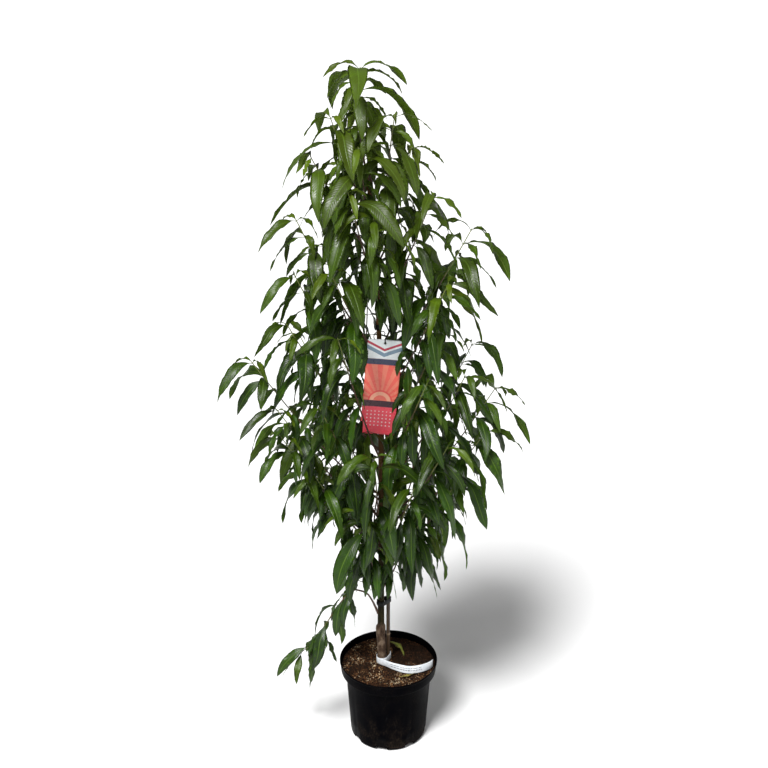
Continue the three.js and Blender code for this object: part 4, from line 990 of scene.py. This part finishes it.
def soil_piece(material, chip_material, trunk):
    """The soil's body, with its top surface and the bark chips, fibres and grains that lie on it."""
    draw = random.Random(41)
    points = [(*polar(r, a), z) for r, z in SOIL_WALL for a in circle(SOIL_SIDES)]
    for j in range(1, SOIL_RINGS):
        for a in circle(SOIL_SIDES):
            x, y = polar(SOIL_RADIUS * (1 - j / SOIL_RINGS), a)
            points.append((x, y, soil_height(x, y, trunk)))
    rings = len(points) // SOIL_SIDES
    points.append((0, 0, soil_height(0, 0, trunk)))
    faces = tube_faces(rings, SOIL_SIDES)
    last, middle = (rings - 1) * SOIL_SIDES, rings * SOIL_SIDES
    faces += [(last + k, last + (k + 1) % SOIL_SIDES, middle) for k in range(SOIL_SIDES)]
    faces.append(tuple(range(SOIL_SIDES - 1, -1, -1)))
    looks, tones = [0] * len(faces), [0.5] * len(points)
    for _ in range(CHIPS):
        a, r = draw.uniform(0, 2 * math.pi), CHIP_REACH * math.sqrt(draw.random())
        x, y = polar(r, a)
        size, tone = chip_size(draw)
        patch = noise.noise(Vector((x * 34, y * 34, 0.7)))
        tone = min(1.0, tone * (0.98 + 0.6 * patch))
        # Painted shade: chips behind the trunk on the right are darkened.
        if x > PAINTED_SHADE_FROM and y > 0:
            tone *= PAINTED_SHADE_TONE
        corners, sides = add_chip(points, faces, (x, y, soil_height(x, y, trunk)), size, draw)
        tones += [tone] * corners
        looks += [1] * sides
    points = [(x, y, min(z, SOIL_CEILING)) for x, y, z in points]
    piece = add_piece("fine_soil", points, faces, [material, chip_material], looks, tone=tones)
    for face in piece.data.polygons:
        face.use_smooth = face.material_index == 0
    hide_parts("soil")


BOX = ((3, 2, 1, 0), (4, 5, 6, 7), (0, 1, 5, 4), (1, 2, 6, 5), (2, 3, 7, 6), (3, 0, 4, 7))


def add_chip(points, faces, place, size, draw):
    """Adds an uneven splinter lying on the soil, partly sunk, and gives its numbers of corners and sides."""
    turn, tilt, roll = draw.uniform(0, 2 * math.pi), draw.gauss(0, 0.28), draw.gauss(0, 0.35)
    long = np.array((math.cos(turn) * math.cos(tilt), math.sin(turn) * math.cos(tilt), math.sin(tilt)))
    wide = unit(np.cross((0, 0, 1), long))
    thick = np.cross(long, wide)
    cos, sin = math.cos(roll), math.sin(roll)
    wide, thick = wide * cos + thick * sin, thick * cos - wide * sin
    centre = np.array(place) + (0, 0, draw.uniform(-0.1, 0.5) * size[2])
    away = math.hypot(centre[0], centre[1])
    if away + size[0] / 2 > CHIP_WALL:
        centre[:2] *= (CHIP_WALL - size[0] / 2) / max(1e-9, away)
    first = len(points)
    for k in (-0.5, 0.5):
        for j, i in ((-0.5, -0.5), (0.5, -0.5), (0.5, 0.5), (-0.5, 0.5)):
            a, b, c = (full * draw.uniform(0.65, 1.0) for full in size)
            points.append(centre + long * (k * a) + wide * (j * b) + thick * (i * c))
    faces += [tuple(first + k for k in side) for side in BOX]
    return 8, len(BOX)


# Ties, label and strap


def band_line(trunk, cane, gap, steps=9):
    """The closed line of a band pulled round the trunk and the cane, in plan."""
    (tx, ty, tr), (cx, cy, cr) = trunk, cane
    tr, cr = tr + gap, cr + gap
    across = math.atan2(cy - ty, cx - tx)
    turn = math.acos((tr - cr) / math.hypot(cx - tx, cy - ty))
    line = [polar(cr, a, cx, cy) for a in np.linspace(across - turn, across + turn, steps)]
    more = np.linspace(across + turn, across - turn + 2 * math.pi, steps)
    return line + [polar(tr, a, tx, ty) for a in more]


RIBBON_SIDES = 10


def ribbon(line, low, high, half, closed):
    """Points and faces of an upright ribbon along a line in plan, with rounded edges.
    low and high give its edges' heights, at each point or for all; half is half its thickness."""
    n = len(line)
    low, high = np.broadcast_to(low, n), np.broadcast_to(high, n)
    points = []
    for i, (x, y) in enumerate(line):
        before = line[i - 1] if closed or i > 0 else line[i]
        after = line[(i + 1) % n] if closed or i < n - 1 else line[i]
        along = unit(np.array((after[0] - before[0], after[1] - before[1])))
        out = np.array((along[1], -along[0]))
        foot, head = low[i], high[i]
        soft = min(half, (head - foot) / 4)
        up = [(1, foot + soft), (1, (foot + head) / 2), (1, head - soft), (0.6, head - 0.3 * soft)]
        section = up + [(-off, z) for off, z in reversed(up)]
        section += [(-0.6, foot + 0.3 * soft), (0.6, foot + 0.3 * soft)]
        points += [(x + out[0] * half * off, y + out[1] * half * off, z) for off, z in section]
    faces = tube_faces(n, RIBBON_SIDES, True) if closed else capped_tube_faces(n, RIBBON_SIDES)
    return points, faces


def join(points, faces, more, extra):
    """Adds a second set of points and faces to the first."""
    faces += [tuple(k + len(points) for k in face) for face in extra]
    points += more


TIE_GAP, TIE_INSET, TIE_HALF, TIE_WAVE = 2 * MM, 0.4 * MM, 0.75 * MM, 0.5 * MM
TIE_END_HALF_HEIGHT, TIE_END_HALF, TIE_END_LIFT = 4.2 * MM, 0.6 * MM, 1.3 * MM


def tie_piece(node, trunk_line, cane_line, material, turn):
    low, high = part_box(node)
    z = (low.z + high.z) / 2
    line = band_line(rod_at(trunk_line, z), rod_at(cane_line, z), TIE_GAP)
    n = len(line)
    wave = TIE_WAVE * np.sin(2 * circle(n) + turn)
    points, faces = ribbon(line, low.z + TIE_INSET + wave, high.z - TIE_INSET + wave, TIE_HALF, True)
    # The tie's end, pulled through its own slot, lies over the front of the band.
    front = min(range(n), key=lambda i: line[i][1])
    centre = np.mean(line, axis=0)
    end = [np.array(line[(front + k) % n]) for k in (-3, -2, -1, 0, 1, 2)]
    end = [tuple(p + unit(p - centre) * TIE_END_LIFT) for p in end]
    join(points, faces, *ribbon(end, z - TIE_END_HALF_HEIGHT, z + TIE_END_HALF_HEIGHT, TIE_END_HALF, False))
    piece = add_piece("fine_" + node, points, faces, [material])
    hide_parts(node)


LABEL_HOLE = (-0.009, -0.037, 1.140)
LABEL_HOLE_DROP, LABEL_HOLE_RADIUS = 10 * MM, 3.1 * MM
LABEL_LEAN = math.radians(5)
LABEL_SIZE = (0.084, 0.246)
LABEL_HALF, LABEL_CORNER = 0.38 * MM, 4 * MM  # half its thickness, and its corners' radius
LABEL_BOW, LABEL_CURL = 1.76 * MM, 1.2 * MM  # side to side, and up and down
LABEL_FORWARD = 1.68 * MM  # how far the card's sides lie in front of the hole
LABEL_COLUMNS, LABEL_ROWS = 28, 80
# The hole's place in the card's grid: its middle and the points round it
HOLE_ROW, HOLE_COLUMN = LABEL_ROWS - 3, 14
HOLE_RING = ((-1, -1), (-1, 0), (-1, 1), (0, 1), (1, 1), (1, 0), (1, -1), (0, -1))


def round_corner(x, z):
    """Pulls the card's corners in to a round."""
    middle = LABEL_SIZE[1] / 2
    up = z - middle
    dx, dz = max(0, abs(x) - (LABEL_SIZE[0] / 2 - LABEL_CORNER)), max(0, abs(up) - (middle - LABEL_CORNER))
    if dx > 0 and dz > 0:
        scale = max(dx, dz) / math.hypot(dx, dz)
        x, up = math.copysign(abs(x) - dx + dx * scale, x), up - math.copysign(dz - dz * scale, up)
    return x, up + middle


def label_piece(material):
    """A thin card with rounded corners and a hole, bowed a little."""
    width, height = LABEL_SIZE
    cos, sin = math.cos(LABEL_LEAN), math.sin(LABEL_LEAN)
    points, us, vs, cells = [], [], [], {}
    for layer, side in enumerate((-LABEL_HALF, LABEL_HALF)):
        for j in range(LABEL_ROWS + 1):
            for i in range(LABEL_COLUMNS + 1):
                x, z = round_corner(width * (i / LABEL_COLUMNS - 0.5), height * j / LABEL_ROWS)
                bow = LABEL_BOW * (1 - (2 * x / width) ** 2) - LABEL_FORWARD
                bow += LABEL_CURL * math.sin(3 * z / height + 0.4)
                drop = z - (height - LABEL_HOLE_DROP)
                cells[layer, j, i] = len(points)
                right, back, up = x * cos + drop * sin, bow + side, drop * cos - x * sin
                points.append((LABEL_HOLE[0] + right, LABEL_HOLE[1] + back, LABEL_HOLE[2] + up))
                us.append(x / width + 0.5)
                vs.append(z / height)
    faces = []
    for j in range(LABEL_ROWS):
        for i in range(LABEL_COLUMNS):
            if j - HOLE_ROW in (-1, 0) and i - HOLE_COLUMN in (-1, 0):
                continue
            square = ((j, i), (j, i + 1), (j + 1, i + 1), (j + 1, i))
            faces.append(tuple(cells[0, *p] for p in square))
            faces.append(tuple(cells[1, *p] for p in reversed(square)))
    rim = [(0, i) for i in range(LABEL_COLUMNS)] + [(j, LABEL_COLUMNS) for j in range(LABEL_ROWS)]
    rim += [(LABEL_ROWS, i) for i in range(LABEL_COLUMNS, 0, -1)] + [(j, 0) for j in range(LABEL_ROWS, 0, -1)]
    ring = [(HOLE_ROW + j, HOLE_COLUMN + i) for j, i in HOLE_RING]
    middle = np.mean([points[cells[0, *p]] for p in ring], axis=0)
    for k in (cells[layer, *p] for p in ring for layer in (0, 1)):
        spot = np.array(points[k])
        off = (spot - middle) * (1, 0, 1)
        points[k] = tuple(spot - off + unit(off) * LABEL_HOLE_RADIUS)
    for edge in (rim, ring[::-1]):
        for here, there in zip(edge, edge[1:] + edge[:1]):
            faces.append((cells[0, *here], cells[1, *here], cells[1, *there], cells[0, *there]))
    piece = add_piece("fine_hang_label", points, faces, [material], card_u=us, card_v=vs)
    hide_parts("hang_label")


# The strap's tail across the soil, in plan
STRAP_TAIL = (
    (-0.022, -0.0142), (-0.006, -0.024), (0.014, -0.038), (0.04, -0.048),
    (0.066, -0.051), (0.09, -0.045), (0.108, -0.033), (0.119, -0.02),
)
STRAP_WIDTH, STRAP_HALF = 19 * MM, 0.4 * MM
STRAP_FOOT = 0.217
STRAP_GAP, STRAP_INSET = 2.4 * MM, 0.3 * MM
STRAP_LEAN, STRAP_SETTLE = 7 * MM, 3 * MM  # the tail's lean and drop, reached over a run right of the trunk
SETTLE_FROM, SETTLE_RUN = 10 * MM, 40 * MM
TAIL_WAVE, TAIL_WAVES = 0.8 * MM, 90  # its rise and fall
TAIL_TRIM = 0.4 * MM  # how much narrower it is than the strap
RIBBON_UPS = (0.08, 0.5, 0.92, 1, 1, 1, 1, 1, 0, 0)  # round a ribbon's section: up the front, then the back


def strap_piece(trunk_line, cane_line, material):
    """A band round the foot of trunk and cane, with a tail that lies across the soil."""
    trunk, cane = rod_at(trunk_line, STRAP_FOOT), rod_at(cane_line, STRAP_FOOT)
    loop = band_line(trunk, cane, STRAP_GAP)
    head = STRAP_FOOT + STRAP_WIDTH - STRAP_INSET
    points, faces = ribbon(loop, STRAP_FOOT + STRAP_INSET, head, STRAP_HALF, True)
    tail = catmull(STRAP_TAIL, 7)
    away = np.clip((tail[:, 0] - trunk[0] - SETTLE_FROM) / SETTLE_RUN, 0, 1)
    foot = STRAP_FOOT - STRAP_SETTLE * away + TAIL_WAVE * np.sin(tail[:, 0] * TAIL_WAVES)
    upright, extra = ribbon(tail, foot, foot + STRAP_WIDTH - TAIL_TRIM, STRAP_HALF, False)
    leaned = []
    for k, (x, y, z) in enumerate(upright):
        i = k // RIBBON_SIDES
        leaned.append((x, y + STRAP_LEAN * away[i] * (z - foot[i]) / STRAP_WIDTH, z))
    travel = np.concatenate([[0], np.cumsum(np.linalg.norm(np.diff(tail, axis=0), axis=1))])
    along = [0.0] * len(points) + np.repeat(travel, RIBBON_SIDES).tolist()
    up = [0.0] * len(points) + list(RIBBON_UPS) * len(tail)
    join(points, faces, leaned, extra)
    piece = add_piece("fine_strap", points, faces, [material], along=along, up=up)
    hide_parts("strap_tag")


def fallen_leaf_piece(node, material, seed):
    """A fine leaf from the solid's six points: root and tip lie farthest apart, top and underside nearest."""
    points, _ = cad_mesh(node)
    pairs = [(np.linalg.norm(points[i] - points[j]), i, j) for i, j in combinations(range(len(points)), 2)]
    _, one, two = max(pairs)
    rest = [k for k in range(len(points)) if k not in (one, two)]
    _, top, under = min((d, i, j) for d, i, j in pairs if i in rest and j in rest)
    left, right = [k for k in rest if k not in (top, under)]
    if points[top][2] < points[under][2]:
        top, under = under, top
    centre = (points[top] + points[under]) / 2
    if np.linalg.norm(points[one] - centre) > np.linalg.norm(points[two] - centre):
        one, two = two, one
    leaf = Leaf(points[one], points[left], points[top], points[right], points[under], points[two])
    mesh = {key: [] for key in ("points", "faces", "looks", "along", "across")}
    leaf_mesh(leaf, random.Random(seed), mesh)
    mesh["looks"] = None
    piece = add_piece("fine_" + node, **mesh, materials=[material])
    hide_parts(node)


# Building it

leaf_looks = [leaf_look("leaf_top", False), leaf_look("leaf_underside", True), twig_look()]
shoots = sorted(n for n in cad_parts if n.startswith(("shoot_", "low_")) or n == "leader")
for i, node in enumerate(shoots):
    shoot_piece(node, leaf_looks, 100 + i)

axes = trunk_axis, cane_axis = rod_line("trunk"), rod_line("cane")
trunk_piece(trunk_axis, bark_look())
cane_piece(cane_axis, bamboo_look())
pot_piece(pot_look())
soil_piece(soil_look(), chip_look(), rod_at(trunk_axis, SOIL_LEVEL))
tie_material = tie_look()
tie_piece("tie_low", *axes, tie_material, 0.4)
tie_piece("tie_high", *axes, tie_material, 2.1)
label_piece(card_look())
strap_piece(*axes, strap_look())
faded = dry_leaf_look("faded_leaf", srgb(66, 80, 14), srgb(116, 128, 36))
dry = dry_leaf_look("dry_leaf", srgb(84, 78, 20), srgb(132, 120, 38))
fallen_leaf_piece("fallen_leaf_green", faded, 3)
fallen_leaf_piece("fallen_leaf_yellow", dry, 4)
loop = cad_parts["label_loop"]
loop.data.materials.clear()
loop.data.materials.append(tie_material)
loop.data.polygons.foreach_set("use_smooth", [True] * len(loop.data.polygons))

# Stage


def floor():
    look = Look("floor")
    colour = look.mix(look.noise(1.5, 2), (0.86, 0.86, 0.86, 1), (0.9, 0.9, 0.9, 1))
    look.finish(colour, 0.9, shine=0.1)
    corners = [(x * FLOOR_REACH, y * FLOOR_REACH, -0.5 * MM) for x, y in ((-1, -1), (1, -1), (1, 1), (-1, 1))]
    plane = put("floor", new_mesh("floor", corners, [(0, 1, 2, 3)], [look.material]))


floor()
key = bpy.data.lights.new("key", "SUN")
key.energy, key.angle = KEY_STRENGTH, KEY_SOFTNESS
put("key", key).rotation_euler = Vector(KEY_FROM).to_track_quat("Z", "Y").to_euler()
fill = bpy.data.lights.new("fill", "AREA")
fill.shape, fill.size, fill.energy = "DISK", FILL_SIZE, FILL_POWER
aim = Vector(FILL_AIM) - Vector(FILL_AT)
put("fill", fill, FILL_AT).rotation_euler = aim.to_track_quat("-Z", "Y").to_euler()
world = bpy.data.worlds.new("studio")
world.use_nodes = True
world.node_tree.nodes["Background"].inputs["Color"].default_value = (1, 1, 1, 1)
world.node_tree.nodes["Background"].inputs["Strength"].default_value = SKY_STRENGTH
bpy.context.scene.world = world
bpy.context.scene.view_settings.view_transform = "Standard"

lens = bpy.data.cameras.new("camera")
lens.sensor_width, lens.lens = 36, CAMERA_LENS
camera = put("camera", lens, CAMERA_AT)
camera.rotation_euler = (math.pi / 2 - CAMERA_PITCH, 0, 0)
bpy.context.scene.camera = camera
